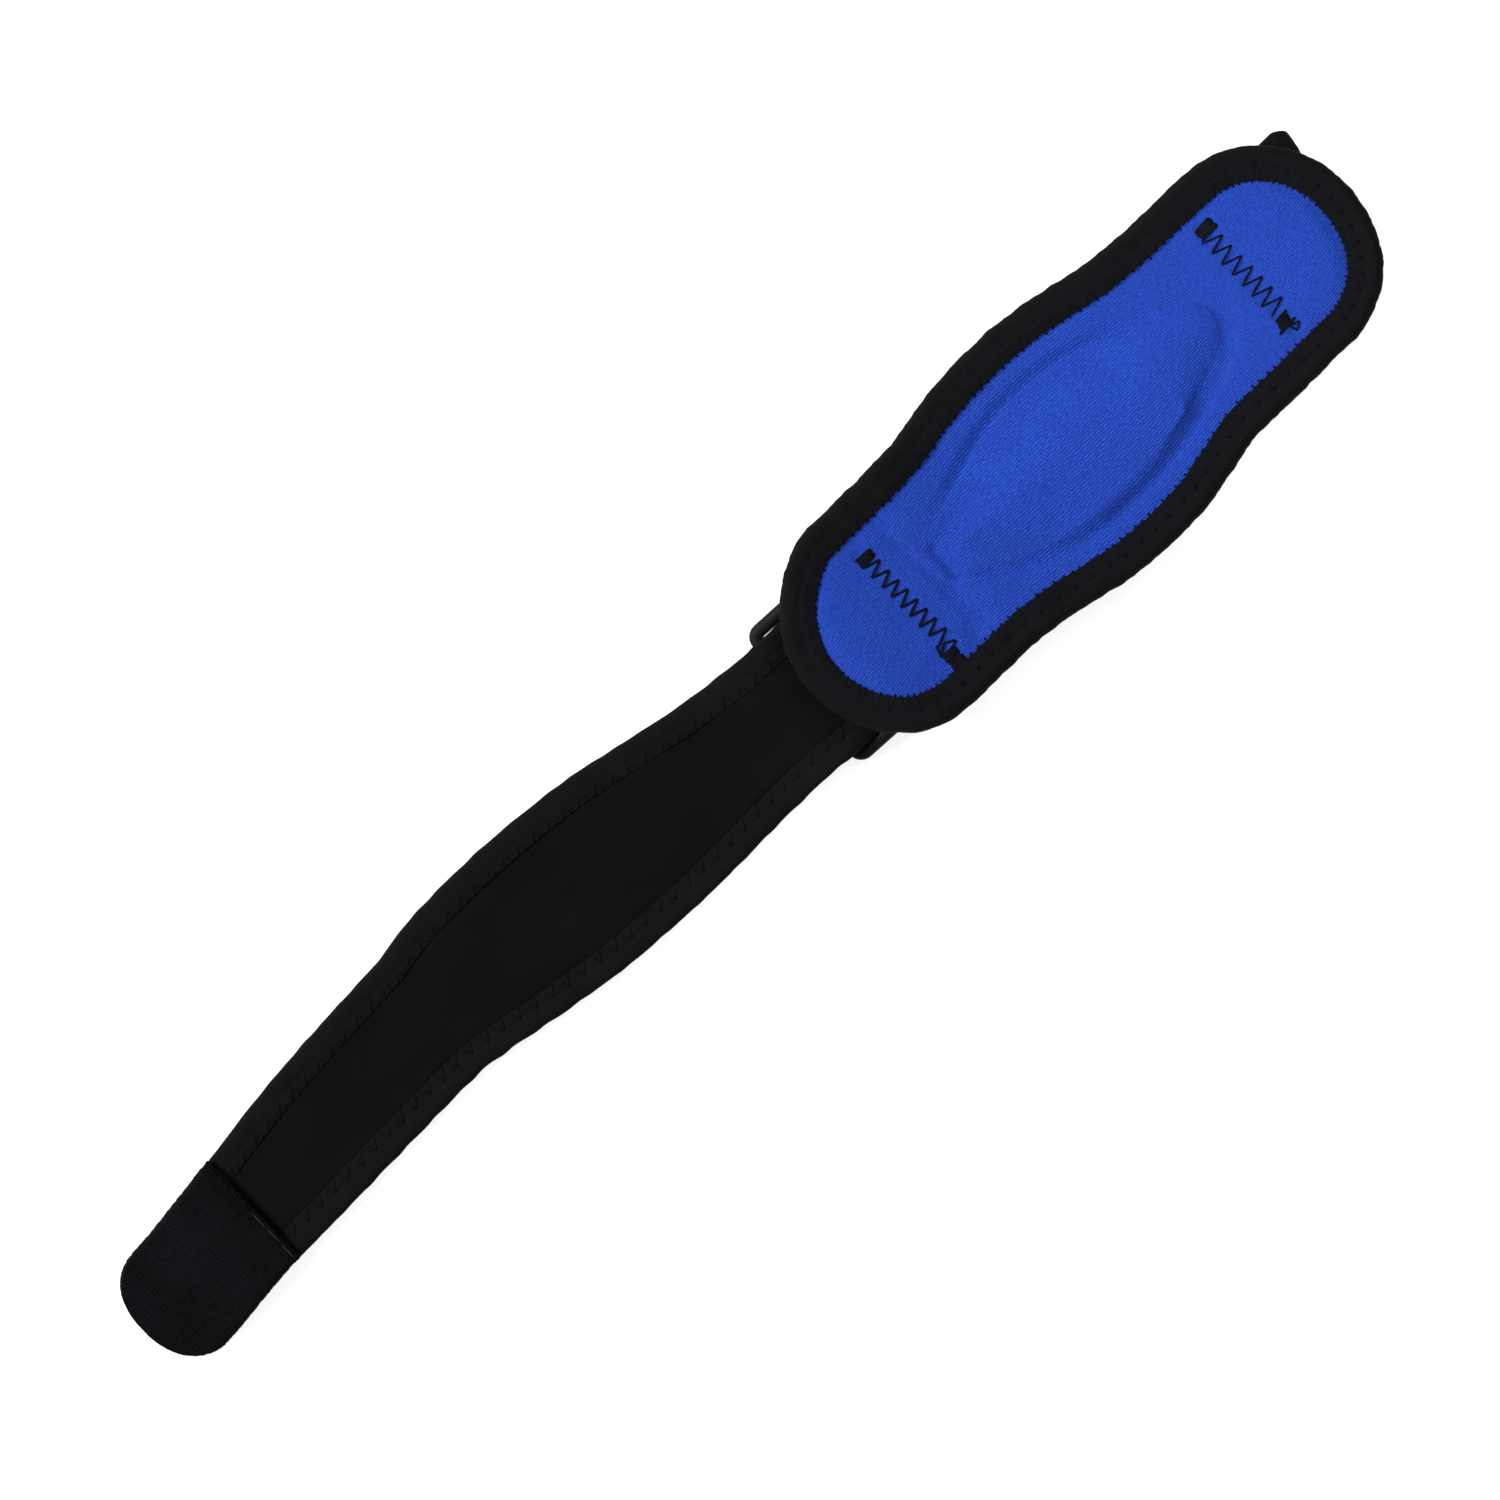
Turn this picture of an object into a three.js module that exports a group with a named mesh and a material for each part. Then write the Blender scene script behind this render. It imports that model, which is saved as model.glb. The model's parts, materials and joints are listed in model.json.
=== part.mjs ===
// A tennis elbow strap laid flat, the pad's knit face up. A neoprene strap is sewn to the back of
// the pad, folds back beneath it, rises through a plastic ring and lies out to a hook tab.
// Millimetres: +X along the strap towards the pad's far end, +Y across it, +Z up from the table.

import * as THREE from "three";

// Clearances
const gap = 0.3;
const pad_tape_gap = 0.45;
const fold_gap = 0.5;
const ring_play = 0.4;

// Pad: overall size, rounded ends and the walls of its two sheets
const pad_length = 162.4;
const pad_width = 61.8;
const pad_end_length = 23;
const backing_wall = 2;
const lining_wall = 1;
const pad_shift = 0.45;

// Tape folded over the pad's edge
const pad_tape_width = 8;
const pad_tape_wall = 0.7;
const pad_tape_roll = 1.9;

// Insert under the pad's face
const gel_length = 82;
const gel_width = 31.8;
const gel_height = 3.2;
const gel_end_length = 5;
const crease_width = 2.8;
const slope_width = 3;

// Strap: greatest width, width in the ring and at the fold, and thickness under and between its tapes
const strap_width = 41;
const strap_ring_width = 30.4;
const strap_fold_width = 39;
const strap_wall = 2.6;
const strap_edge_wall = 1.3;
const free_length = 166.2;
const bow = 0.6;
const fold_short = 3.6;
const fold_slant = 0.115;

// Tape folded over the strap's edges
const tape_width = 6.8;
const tape_wall = 0.75;
const tape_roll = 1.2;

// Plastic ring, and the webbing that holds it
const slot_width = 32.3;
const slot_length = 17.4;
const ring_bar = 3.2;
const ring_corner = 3.4;
const ring_turn_deg = -1.8;
const ring_reach = 2.6;
const webbing_width = 28;
const webbing_wall = 1.6;
const seam_inset = 29.1;
const webbing_overlap = 4.5;
const strap_end_overlap = 6;

// Hook tab
const tab_length = 36.4;
const tab_width = 28.9;
const tab_wall = 1.6;
const tab_overlap = 9;
const tab_step_length = 18;
const tab_end_length = 12;

// Facets
const pad_facets = 48;
const bend_facets = 6;
const upper_steps = 20;
const lower_steps = 12;
const climb_steps = 8;
const free_steps = 30;
const tab_steps = 24;

// Rolled edges: how far in the roll still is at half its height, as a share of its depth
const roll_share = 0.25;

// Heights that follow from the stack of layers
const strap_thick = strap_edge_wall + 2 * (gap + tape_wall);
const floor_run = strap_thick / 2;
const ring_pin_height = strap_thick + gap + webbing_wall + gap + strap_thick / 2;
const outer_bar_height = 0.55 * ring_bar;
const over_bar = outer_bar_height + ring_bar / 2 + gap + strap_thick / 2;
const middle_run = ring_pin_height + bow;
const fold_run = strap_thick + fold_gap + strap_thick / 2;
const tape_below_pad = pad_tape_gap + pad_tape_wall;
const pad_over_bar = over_bar + strap_thick / 2 + gap + tape_below_pad;
const pad_over_ring = ring_pin_height + strap_thick / 2 + gap + webbing_wall + 2 * gap;
const pad_over_strap = middle_run + strap_thick / 2 + gap;
const pad_over_fold = fold_run + strap_thick / 2 + gap + tape_below_pad;

// Places along the strap
const pad_half = pad_length / 2;
const fold_x = pad_half - fold_short;
const seam_low_x = -pad_half + seam_inset;
const outer_bar_x = -pad_half - ring_reach + ring_bar / 2;
const bar_spacing = slot_length + ring_bar;
const ring_rise = ring_pin_height - outer_bar_height;
const inner_bar_x = outer_bar_x + Math.sqrt(bar_spacing ** 2 - ring_rise ** 2);
const tab_edge_x = outer_bar_x - free_length;
const tab_tip_x = tab_edge_x - tab_length;

// Pad outline: half widths to each side, as shares of half the pad's width,
// at places given as shares of half its length
const pad_outline = [
  { along: -1.0, left: 0.775, right: 0.842 },
  { along: -0.86, left: 0.805, right: 0.842 },
  { along: -0.70, left: 0.868, right: 0.842 },
  { along: -0.50, left: 0.875, right: 0.838 },
  { along: -0.38, left: 0.891, right: 0.862 },
  { along: -0.26, left: 0.952, right: 0.922 },
  { along: -0.12, left: 0.993, right: 0.986 },
  { along: 0.0, left: 1.0, right: 1.0 },
  { along: 0.12, left: 0.973, right: 0.986 },
  { along: 0.24, left: 0.916, right: 0.922 },
  { along: 0.38, left: 0.856, right: 0.858 },
  { along: 0.52, left: 0.841, right: 0.858 },
  { along: 0.66, left: 0.84, right: 0.85 },
  { along: 0.8, left: 0.826, right: 0.85 },
  { along: 1.0, left: 0.82, right: 0.885 },
];

// Insert outline: the same columns, as shares of half its own width and length
const gel_outline = [
  { along: -1.0, left: 0.44, right: 0.27 },
  { along: -0.88, left: 0.52, right: 0.38 },
  { along: -0.62, left: 0.71, right: 0.71 },
  { along: -0.38, left: 0.90, right: 0.89 },
  { along: -0.12, left: 1.0, right: 0.96 },
  { along: 0.12, left: 0.95, right: 0.95 },
  { along: 0.4, left: 0.78, right: 0.83 },
  { along: 0.7, left: 0.56, right: 0.62 },
  { along: 0.9, left: 0.38, right: 0.42 },
  { along: 1.0, left: 0.28, right: 0.30 },
];

// Height of the pad's underside along it: it droops past the ring and past the fold
const pad_height = [
  { along: -1.0, height: pad_over_bar },
  { along: -0.91, height: pad_over_bar + 0.55 * (pad_over_ring - pad_over_bar) },
  { along: -0.82, height: pad_over_ring },
  { along: -0.52, height: pad_over_ring },
  { along: -0.25, height: pad_over_strap },
  { along: 0.62, height: pad_over_strap },
  { along: 0.8, height: pad_over_fold + 0.7 * (pad_over_strap - pad_over_fold) },
  { along: 0.92, height: pad_over_fold + 0.2 * (pad_over_strap - pad_over_fold) },
  { along: 1.0, height: pad_over_fold },
];

// Rings of the pad's sheets, from the middle out. Each lies between the insert's outline and the
// pad's (towards), shrunk or grown, and lifts the face by a share of the insert's height.
const sheet_rings = [
  { towards: 0, scale: 0.5, inset: 0, rise: 1.0 },
  { towards: 0, scale: 1, inset: slope_width, rise: 0.96 },
  { towards: 0, scale: 1, inset: 0, rise: 0.5 },
  { towards: 0, scale: 1, inset: -crease_width, rise: 0 },
  { towards: 0.33, scale: 1, inset: 0, rise: 0.06 },
  { towards: 0.66, scale: 1, inset: pad_tape_width / 2, rise: 0.08 },
  { towards: 1, scale: 1, inset: pad_tape_width, rise: 0 },
  { towards: 1, scale: 1, inset: pad_tape_wall + gap, rise: 0 },
];
const crown_rise = 1.03;
const gel_ring_count = 3;

// Strap runs in the order in which the strap passes through them. Along is the share of the run,
// width and side are shares of the strap's greatest width, slant is a share of the fold's slant.
const ring_share = strap_ring_width / strap_width;
const fold_share = strap_fold_width / strap_width;
const slot_share = (slot_width - 2 * gap) / strap_width;
const ring_side = pad_shift / strap_width;
const upper_run = [
  { along: 0, height: ring_pin_height, width: 1.03 * ring_share, side: 0, slant: 0 },
  { along: 0.12, height: ring_pin_height, width: 1.05 * ring_share, side: 0.005, slant: 0 },
  { along: 0.3, height: middle_run, width: 1.08 * ring_share, side: 0.01, slant: 0 },
  { along: 0.8, height: middle_run, width: 1.1 * ring_share, side: 0.005, slant: 0 },
  { along: 0.88, height: 0.4 * middle_run + 0.6 * fold_run, width: 0.9 * fold_share, side: 0, slant: 0.4 },
  { along: 0.96, height: fold_run, width: fold_share, side: 0, slant: 0.9 },
  { along: 1, height: fold_run, width: 0.93 * fold_share, side: 0, slant: 1 },
];
const lower_run = [
  { along: 0, height: floor_run, width: 0.93 * fold_share, side: 0, slant: 1 },
  { along: 0.12, height: floor_run, width: 0.98 * fold_share, side: 0, slant: 0.4 },
  { along: 0.4, height: floor_run, width: 0.93 * fold_share, side: 0.01, slant: 0 },
  { along: 0.75, height: floor_run, width: 1.06 * ring_share, side: 0.01, slant: 0 },
  { along: 1, height: floor_run, width: ring_share, side: 0.004, slant: 0 },
];
const climb_run = [
  { along: 0, height: floor_run, width: ring_share, side: 0.004, slant: 0 },
  { along: 0.6, height: floor_run + 0.74 * (over_bar - floor_run), width: ring_share, side: 0.004, slant: 0 },
  { along: 0.9, height: over_bar, width: slot_share, side: ring_side, slant: 0 },
  { along: 1, height: over_bar, width: slot_share, side: ring_side, slant: 0 },
];
const free_run = [
  { along: 0, height: over_bar, width: slot_share, side: ring_side, slant: 0 },
  { along: 0.012, height: over_bar, width: slot_share, side: ring_side, slant: 0 },
  { along: 0.03, height: floor_run + 0.94 * (over_bar - floor_run), width: 0.79, side: 0.017, slant: 0 },
  { along: 0.12, height: floor_run, width: 0.827, side: 0.039, slant: 0 },
  { along: 0.21, height: floor_run, width: 0.91, side: 0.068, slant: 0 },
  { along: 0.3, height: floor_run, width: 0.982, side: 0.103, slant: 0 },
  { along: 0.39, height: floor_run, width: 1.0, side: 0.13, slant: 0 },
  { along: 0.485, height: floor_run, width: 0.958, side: 0.161, slant: 0 },
  { along: 0.577, height: floor_run, width: 0.87, side: 0.181, slant: 0 },
  { along: 0.623, height: floor_run, width: 0.812, side: 0.175, slant: 0 },
  { along: 0.76, height: floor_run, width: 0.789, side: 0.145, slant: 0 },
  { along: 0.85, height: floor_run, width: 0.765, side: 0.117, slant: 0 },
  { along: 0.94, height: floor_run, width: 0.72, side: 0.081, slant: 0 },
  { along: 1, height: floor_run, width: 0.68, side: 0.06, slant: 0 },
];

// Tab: along is the share of its length, width a share of its own width, side of the strap's,
// and step how far it still stands on the strap's end
const tab_run = [
  { along: 0, width: 1.02, side: 0.078, step: 1 },
  { along: tab_overlap / tab_length, width: 1.005, side: 0.055, step: 1 },
  { along: (tab_overlap + tab_step_length) / tab_length, width: 1, side: 0.01, step: 0 },
  { along: 1, width: 1, side: 0.02, step: 0 },
];

// Colours and finishes
const knit_blue = new THREE.MeshStandardMaterial({ color: 0x2347b1, roughness: 0.85, metalness: 0 });
const neoprene_black = new THREE.MeshStandardMaterial({ color: 0x111113, roughness: 0.9, metalness: 0 });
const tape_black = new THREE.MeshStandardMaterial({ color: 0x1b1b1d, roughness: 0.85, metalness: 0 });
const gel_clear = new THREE.MeshStandardMaterial({ color: 0x6d7f9c, roughness: 0.4, metalness: 0 });
const plastic_black = new THREE.MeshStandardMaterial({ color: 0x1c1c1e, roughness: 0.5, metalness: 0 });
const hook_black = new THREE.MeshStandardMaterial({ color: 0x131215, roughness: 0.95, metalness: 0 });

// A column of a table at any place along it, on a smooth curve that never overshoots its rows
function between(rows, column, along) {
  const last = rows.length - 1;
  const place = Math.min(Math.max(along, rows[0].along), rows[last].along);
  let i = 0;
  while (i < last - 1 && place > rows[i + 1].along) {
    i += 1;
  }
  const slope = (k) => (rows[k + 1][column] - rows[k][column]) / (rows[k + 1].along - rows[k].along);
  const tangent = (k) => {
    if (k === 0 || k === last) {
      return 0;
    }
    const product = slope(k - 1) * slope(k);
    return product <= 0 ? 0 : (2 * product) / (slope(k - 1) + slope(k));
  };
  const span = rows[i + 1].along - rows[i].along;
  const t = (place - rows[i].along) / span;
  const rest = 1 - t;
  return (
    rest * rest * (1 + 2 * t) * rows[i][column] +
    t * t * (3 - 2 * t) * rows[i + 1][column] +
    t * rest * span * (rest * tangent(i) - t * tangent(i + 1))
  );
}

// How much of the full width is left at a place inside a rounded end, 1 before the end begins
function endRounding(distance_to_end, end_length, power) {
  const t = Math.min(Math.max(1 - distance_to_end / end_length, 0), 1);
  return (1 - t ** power) ** (1 / power);
}

// A closed solid from points and triangles, turned so that its faces point out
function closedSolid(points, triangles) {
  const volume = triangles.reduce(
    (sum, [a, b, c]) => sum + points[a].dot(new THREE.Vector3().crossVectors(points[b], points[c])),
    0,
  );
  const order = volume < 0 ? triangles.map(([a, b, c]) => [a, c, b]) : triangles;
  const geometry = new THREE.BufferGeometry().setFromPoints(points);
  geometry.setIndex(order.flat());
  geometry.computeVertexNormals();
  return geometry;
}

// Two triangles for each facet between two neighbouring loops of points
function bandTriangles(first, second, count) {
  const triangles = [];
  for (let i = 0; i < count; i += 1) {
    const next = (i + 1) % count;
    triangles.push([first + i, first + next, second + next], [first + i, second + next, second + i]);
  }
  return triangles;
}

// A solid through a row of sections. It ends in flat caps, or runs round to its own start.
function loft(sections, runs_round) {
  const count = sections[0].length;
  const triangles = [];
  for (let s = 0; s + 1 < sections.length; s += 1) {
    triangles.push(...bandTriangles(s * count, (s + 1) * count, count));
  }
  const final = (sections.length - 1) * count;
  if (runs_round) {
    triangles.push(...bandTriangles(final, 0, count));
  }
  return { points: sections.flat(), triangles, final };
}

// A strip's solid: its stations carry the outline from end to end, and its outline is a list of
// places across it, each measured in from one edge and up from the middle of its thickness
function stripGeometry(stations, outline) {
  const sections = stations.map((station) =>
    outline.map(({ edge, inset, lift }) => {
      const y = edge === "left" ? station.left - inset : station.right + inset;
      return new THREE.Vector3(
        station.x + lift * station.normal.x + station.slant * y,
        y,
        station.z + lift * station.normal.y,
      );
    }),
  );
  const { points, triangles, final } = loft(sections, false);
  const flat = sections[0].map((point, i) => new THREE.Vector2(point.y, outline[i].lift));
  const clockwise = THREE.ShapeUtils.isClockWise(flat);
  for (const [a, b, c] of THREE.ShapeUtils.triangulateShape(flat, [])) {
    const start_cap = clockwise ? [a, b, c] : [a, c, b];
    const end_cap = clockwise ? [a, c, b] : [a, b, c];
    triangles.push(start_cap, end_cap.map((corner) => final + corner));
  }
  return closedSolid(points, triangles);
}

// Stations with the normal of the line that they follow
function withNormals(stations) {
  return stations.map((station, i) => {
    const before = stations[Math.max(i - 1, 0)];
    const after = stations[Math.min(i + 1, stations.length - 1)];
    const direction = new THREE.Vector2(after.x - before.x, after.z - before.z).normalize();
    return { ...station, normal: new THREE.Vector2(direction.y, -direction.x) };
  });
}

// Stations of one of the strap's runs, between two places on X
function runStations(rows, from_x, to_x, count) {
  const stations = [];
  for (let i = 0; i <= count; i += 1) {
    const along = i / count;
    const half = (between(rows, "width", along) * strap_width) / 2;
    const side = between(rows, "side", along) * strap_width;
    stations.push({
      x: from_x + along * (to_x - from_x),
      z: between(rows, "height", along),
      left: side + half,
      right: side - half,
      slant: between(rows, "slant", along) * fold_slant,
    });
  }
  return stations;
}

// Stations of the strap from its sewn end, round the fold and through the ring, to its free end
function strapStations() {
  const fold_radius = (fold_run - floor_run) / 2;
  const bend_x = fold_x - fold_radius - strap_thick / 2;
  const sewn_end_x = seam_low_x - strap_end_overlap;
  const upper = runStations(upper_run, sewn_end_x, bend_x, upper_steps);
  const lower = runStations(lower_run, bend_x, inner_bar_x, lower_steps);
  const climb = runStations(climb_run, inner_bar_x, outer_bar_x, climb_steps);
  const free = runStations(free_run, outer_bar_x, tab_edge_x - tab_overlap, free_steps);
  const fold = [];
  for (let i = 1; i < bend_facets; i += 1) {
    const angle = (Math.PI * i) / bend_facets;
    fold.push({
      ...lower[0],
      x: bend_x + fold_radius * Math.sin(angle),
      z: floor_run + fold_radius * (1 + Math.cos(angle)),
    });
  }
  return withNormals([...upper, ...fold, ...lower, ...climb.slice(1), ...free.slice(1)]);
}

// Half the strap's section lies between its tapes, the rest thins to slide under them
function strapOutline() {
  const half = strap_wall / 2;
  const edge_half = strap_edge_wall / 2;
  const under_tape = tape_wall + gap;
  const shoulder = tape_width + gap;
  const side = (edge) => [
    { edge, inset: under_tape, lift: edge_half },
    { edge, inset: shoulder, lift: edge_half },
    { edge, inset: shoulder + gap, lift: half },
  ];
  const below = (places) => places.map((place) => ({ ...place, lift: -place.lift }));
  return [
    ...side("left"),
    ...side("right").reverse(),
    ...below(side("right")),
    ...below(side("left").reverse()),
  ];
}

// The section of a tape folded over one of the strap's edges
function tapeOutline(edge) {
  const outside = strap_thick / 2;
  const inside = outside - tape_wall;
  return [
    { edge, inset: tape_width, lift: outside },
    { edge, inset: tape_roll, lift: outside },
    { edge, inset: tape_roll * roll_share, lift: outside / 2 },
    { edge, inset: 0, lift: 0 },
    { edge, inset: tape_roll * roll_share, lift: -outside / 2 },
    { edge, inset: tape_roll, lift: -outside },
    { edge, inset: tape_width, lift: -outside },
    { edge, inset: tape_width, lift: -inside },
    { edge, inset: tape_wall, lift: -inside },
    { edge, inset: tape_wall, lift: inside },
    { edge, inset: tape_width, lift: inside },
  ];
}

// A flat band's section
function bandOutline(wall) {
  return [
    { edge: "left", inset: 0, lift: wall / 2 },
    { edge: "right", inset: 0, lift: wall / 2 },
    { edge: "right", inset: 0, lift: -wall / 2 },
    { edge: "left", inset: 0, lift: -wall / 2 },
  ];
}

// The hook tab: it stands on the strap's end and steps down to the table
function tabGeometry() {
  const stations = [];
  const raised = strap_thick + gap;
  const tip_power = 2.3;
  const blunt_tip = 0.05;
  for (let i = 0; i <= tab_steps; i += 1) {
    const along = Math.sin((Math.PI / 2) * (i / tab_steps));
    const from_tip = (1 - along) * tab_length + blunt_tip;
    const half =
      (between(tab_run, "width", along) * tab_width * endRounding(from_tip, tab_end_length, tip_power)) / 2;
    const side = between(tab_run, "side", along) * strap_width;
    stations.push({
      x: tab_edge_x + along * (tab_tip_x - tab_edge_x),
      z: tab_wall / 2 + raised * between(tab_run, "step", along),
      left: side + half,
      right: side - half,
      slant: 0,
    });
  }
  return stripGeometry(withNormals(stations), bandOutline(tab_wall));
}

// The webbing: two legs over and under the strap's sewn end, joined round the ring's inner bar
function webbingGeometry() {
  const radius = strap_thick / 2 + gap + webbing_wall / 2;
  const legs_end_x = seam_low_x + webbing_overlap;
  const half = webbing_width / 2;
  const bend_x = inner_bar_x - ring_play;
  const line = [{ x: legs_end_x, z: ring_pin_height + radius }];
  for (let i = 0; i <= 2 * bend_facets; i += 1) {
    const angle = (Math.PI * i) / (2 * bend_facets);
    line.push({
      x: bend_x - radius * Math.sin(angle),
      z: ring_pin_height + radius * Math.cos(angle),
    });
  }
  line.push({ x: legs_end_x, z: ring_pin_height - radius });
  const edges = { left: pad_shift + half, right: pad_shift - half, slant: 0 };
  const stations = line.map((place) => ({ ...place, ...edges }));
  return stripGeometry(withNormals(stations), bandOutline(webbing_wall));
}

// The ring in its own plane: a bar of rounded section round a rectangle with rounded corners
function ringGeometry() {
  const half_x = bar_spacing / 2;
  const half_y = (slot_width + ring_bar) / 2;
  const radius = ring_corner - ring_bar / 2;
  const corner_facets = 4;
  const section_facets = 8;
  const section_power = 2.6;
  const sections = [];
  for (const [turn, side_x, side_y] of [[0, 1, 1], [1, -1, 1], [2, -1, -1], [3, 1, -1]]) {
    for (let i = 0; i <= corner_facets; i += 1) {
      const angle = (Math.PI / 2) * (turn + i / corner_facets);
      const out = new THREE.Vector3(Math.cos(angle), Math.sin(angle), 0);
      const centre = new THREE.Vector3(side_x * (half_x - radius), side_y * (half_y - radius), 0);
      centre.addScaledVector(out, radius);
      const section = [];
      for (let k = 0; k < section_facets; k += 1) {
        const around = (2 * Math.PI * (k + 0.5)) / section_facets;
        const c = Math.cos(around);
        const s = Math.sin(around);
        const fullness = Math.abs(c) ** section_power + Math.abs(s) ** section_power;
        const reach = ring_bar / 2 / fullness ** (1 / section_power);
        section.push(centre.clone().addScaledVector(out, reach * c).setZ(reach * s));
      }
      sections.push(section);
    }
  }
  const { points, triangles } = loft(sections, true);
  return closedSolid(points, triangles);
}

// A place on an outline given by its table, at an angle round it, with the normal there
function outlinePlace(rows, length, width, end_length, angle) {
  const place = (turn) => {
    const along = Math.cos(turn);
    const column = Math.sin(turn) >= 0 ? "left" : "right";
    const from_end = ((1 - Math.abs(along)) * length) / 2;
    const half = (between(rows, column, along) * width * endRounding(from_end, end_length, 2)) / 2;
    return new THREE.Vector2((along * length) / 2, Math.sin(turn) >= 0 ? half : -half);
  };
  const step = 0.01;
  const direction = place(angle + step).sub(place(angle - step)).normalize();
  return { at: place(angle), out: new THREE.Vector2(direction.y, -direction.x) };
}

// Places round the pad on one of its rings
function padRing({ towards, scale, inset }) {
  const places = [];
  for (let i = 0; i < pad_facets; i += 1) {
    const angle = (2 * Math.PI * (i + 0.5)) / pad_facets;
    const gel = outlinePlace(gel_outline, gel_length, gel_width, gel_end_length, angle);
    const pad = outlinePlace(pad_outline, pad_length, pad_width, pad_end_length, angle);
    const at = gel.at.clone().lerp(pad.at, towards).multiplyScalar(scale);
    const out = gel.out.clone().lerp(pad.out, towards).normalize();
    at.addScaledVector(out, -inset);
    places.push(new THREE.Vector2(at.x, at.y + pad_shift));
  }
  return places;
}

// Height of the pad's underside at a place along it
function padBase(x) {
  return between(pad_height, "height", x / pad_half);
}

// A sheet of the pad between two heights above its underside, each a function of a ring's rise
function sheetGeometry(rings, bottom, top) {
  const points = [];
  const triangles = [];
  const centre_x = 0;
  const layers = [bottom, top].map((height) => {
    const start = points.length;
    points.push(new THREE.Vector3(centre_x, pad_shift, padBase(centre_x) + height(crown_rise)));
    for (const ring of rings) {
      for (const place of padRing(ring)) {
        points.push(new THREE.Vector3(place.x, place.y, padBase(place.x) + height(ring.rise)));
      }
    }
    return start;
  });
  const outer = 1 + (rings.length - 1) * pad_facets;
  layers.forEach((start, layer) => {
    const skin = [];
    for (let i = 0; i < pad_facets; i += 1) {
      skin.push([start, start + 1 + i, start + 1 + ((i + 1) % pad_facets)]);
    }
    for (let r = 0; r + 1 < rings.length; r += 1) {
      const inner = start + 1 + r * pad_facets;
      skin.push(...bandTriangles(inner + pad_facets, inner, pad_facets));
    }
    triangles.push(...(layer === 0 ? skin.map(([a, b, c]) => [a, c, b]) : skin));
  });
  triangles.push(...bandTriangles(layers[0] + outer, layers[1] + outer, pad_facets));
  return closedSolid(points, triangles);
}

// The tape over the pad's edge
function padTapeGeometry() {
  const sheets = backing_wall + gap + lining_wall;
  const low = -tape_below_pad;
  const high = sheets + tape_below_pad;
  const middle = sheets / 2;
  const outline = [
    { inset: pad_tape_width, height: high },
    { inset: pad_tape_roll, height: high },
    { inset: pad_tape_roll * roll_share, height: (high + middle) / 2 },
    { inset: 0, height: middle },
    { inset: pad_tape_roll * roll_share, height: (low + middle) / 2 },
    { inset: pad_tape_roll, height: low },
    { inset: pad_tape_width, height: low },
    { inset: pad_tape_width, height: -pad_tape_gap },
    { inset: pad_tape_wall, height: -pad_tape_gap },
    { inset: pad_tape_wall, height: sheets + pad_tape_gap },
    { inset: pad_tape_width, height: sheets + pad_tape_gap },
  ];
  const rings = outline.map(({ inset }) => padRing({ towards: 1, scale: 1, inset }));
  const sections = [];
  for (let i = 0; i < pad_facets; i += 1) {
    sections.push(
      outline.map(({ height }, k) => {
        const place = rings[k][i];
        return new THREE.Vector3(place.x, place.y, padBase(place.x) + height);
      }),
    );
  }
  const { points, triangles } = loft(sections, true);
  return closedSolid(points, triangles);
}

// One named piece
function piece(name, geometry, material) {
  const mesh = new THREE.Mesh(geometry, material);
  mesh.name = name;
  return mesh;
}

function padPieces() {
  const face = backing_wall + gap;
  const gel_rings = sheet_rings.slice(0, gel_ring_count).map((ring, i) =>
    i === gel_ring_count - 1 ? { ...ring, inset: gap } : ring,
  );
  return [
    piece(
      "pad_backing",
      sheetGeometry(sheet_rings, () => 0, () => backing_wall),
      neoprene_black,
    ),
    piece(
      "gel_pad",
      sheetGeometry(gel_rings, () => face, (rise) => face + rise * gel_height - gap),
      gel_clear,
    ),
    piece(
      "pad_lining",
      sheetGeometry(
        sheet_rings,
        (rise) => face + rise * gel_height,
        (rise) => face + rise * gel_height + lining_wall,
      ),
      knit_blue,
    ),
    piece("pad_binding", padTapeGeometry(), tape_black),
  ];
}

function strapPieces() {
  const stations = strapStations();
  return [
    piece("strap", stripGeometry(stations, strapOutline()), neoprene_black),
    piece("strap_binding_left", stripGeometry(stations, tapeOutline("left")), tape_black),
    piece("strap_binding_right", stripGeometry(stations, tapeOutline("right")), tape_black),
    piece("hook_tab", tabGeometry(), hook_black),
  ];
}

function ringPieces() {
  const ring = piece("ring", ringGeometry(), plastic_black);
  ring.rotation.order = "ZYX";
  ring.rotation.set(
    0,
    -Math.asin(ring_rise / bar_spacing),
    THREE.MathUtils.degToRad(ring_turn_deg),
  );
  ring.position.set(
    (inner_bar_x + outer_bar_x) / 2,
    pad_shift,
    (ring_pin_height + outer_bar_height) / 2,
  );
  return [ring, piece("ring_loop", webbingGeometry(), tape_black)];
}

// The whole, moved so that its origin is under the middle of its outline, on the table
const whole = new THREE.Group();
whole.add(...padPieces(), ...strapPieces(), ...ringPieces());
whole.updateMatrixWorld(true);
const box = new THREE.Box3().setFromObject(whole, true);
const middle = box.getCenter(new THREE.Vector3());
whole.position.set(-middle.x, -middle.y, -box.min.z);

export default whole;
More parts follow.
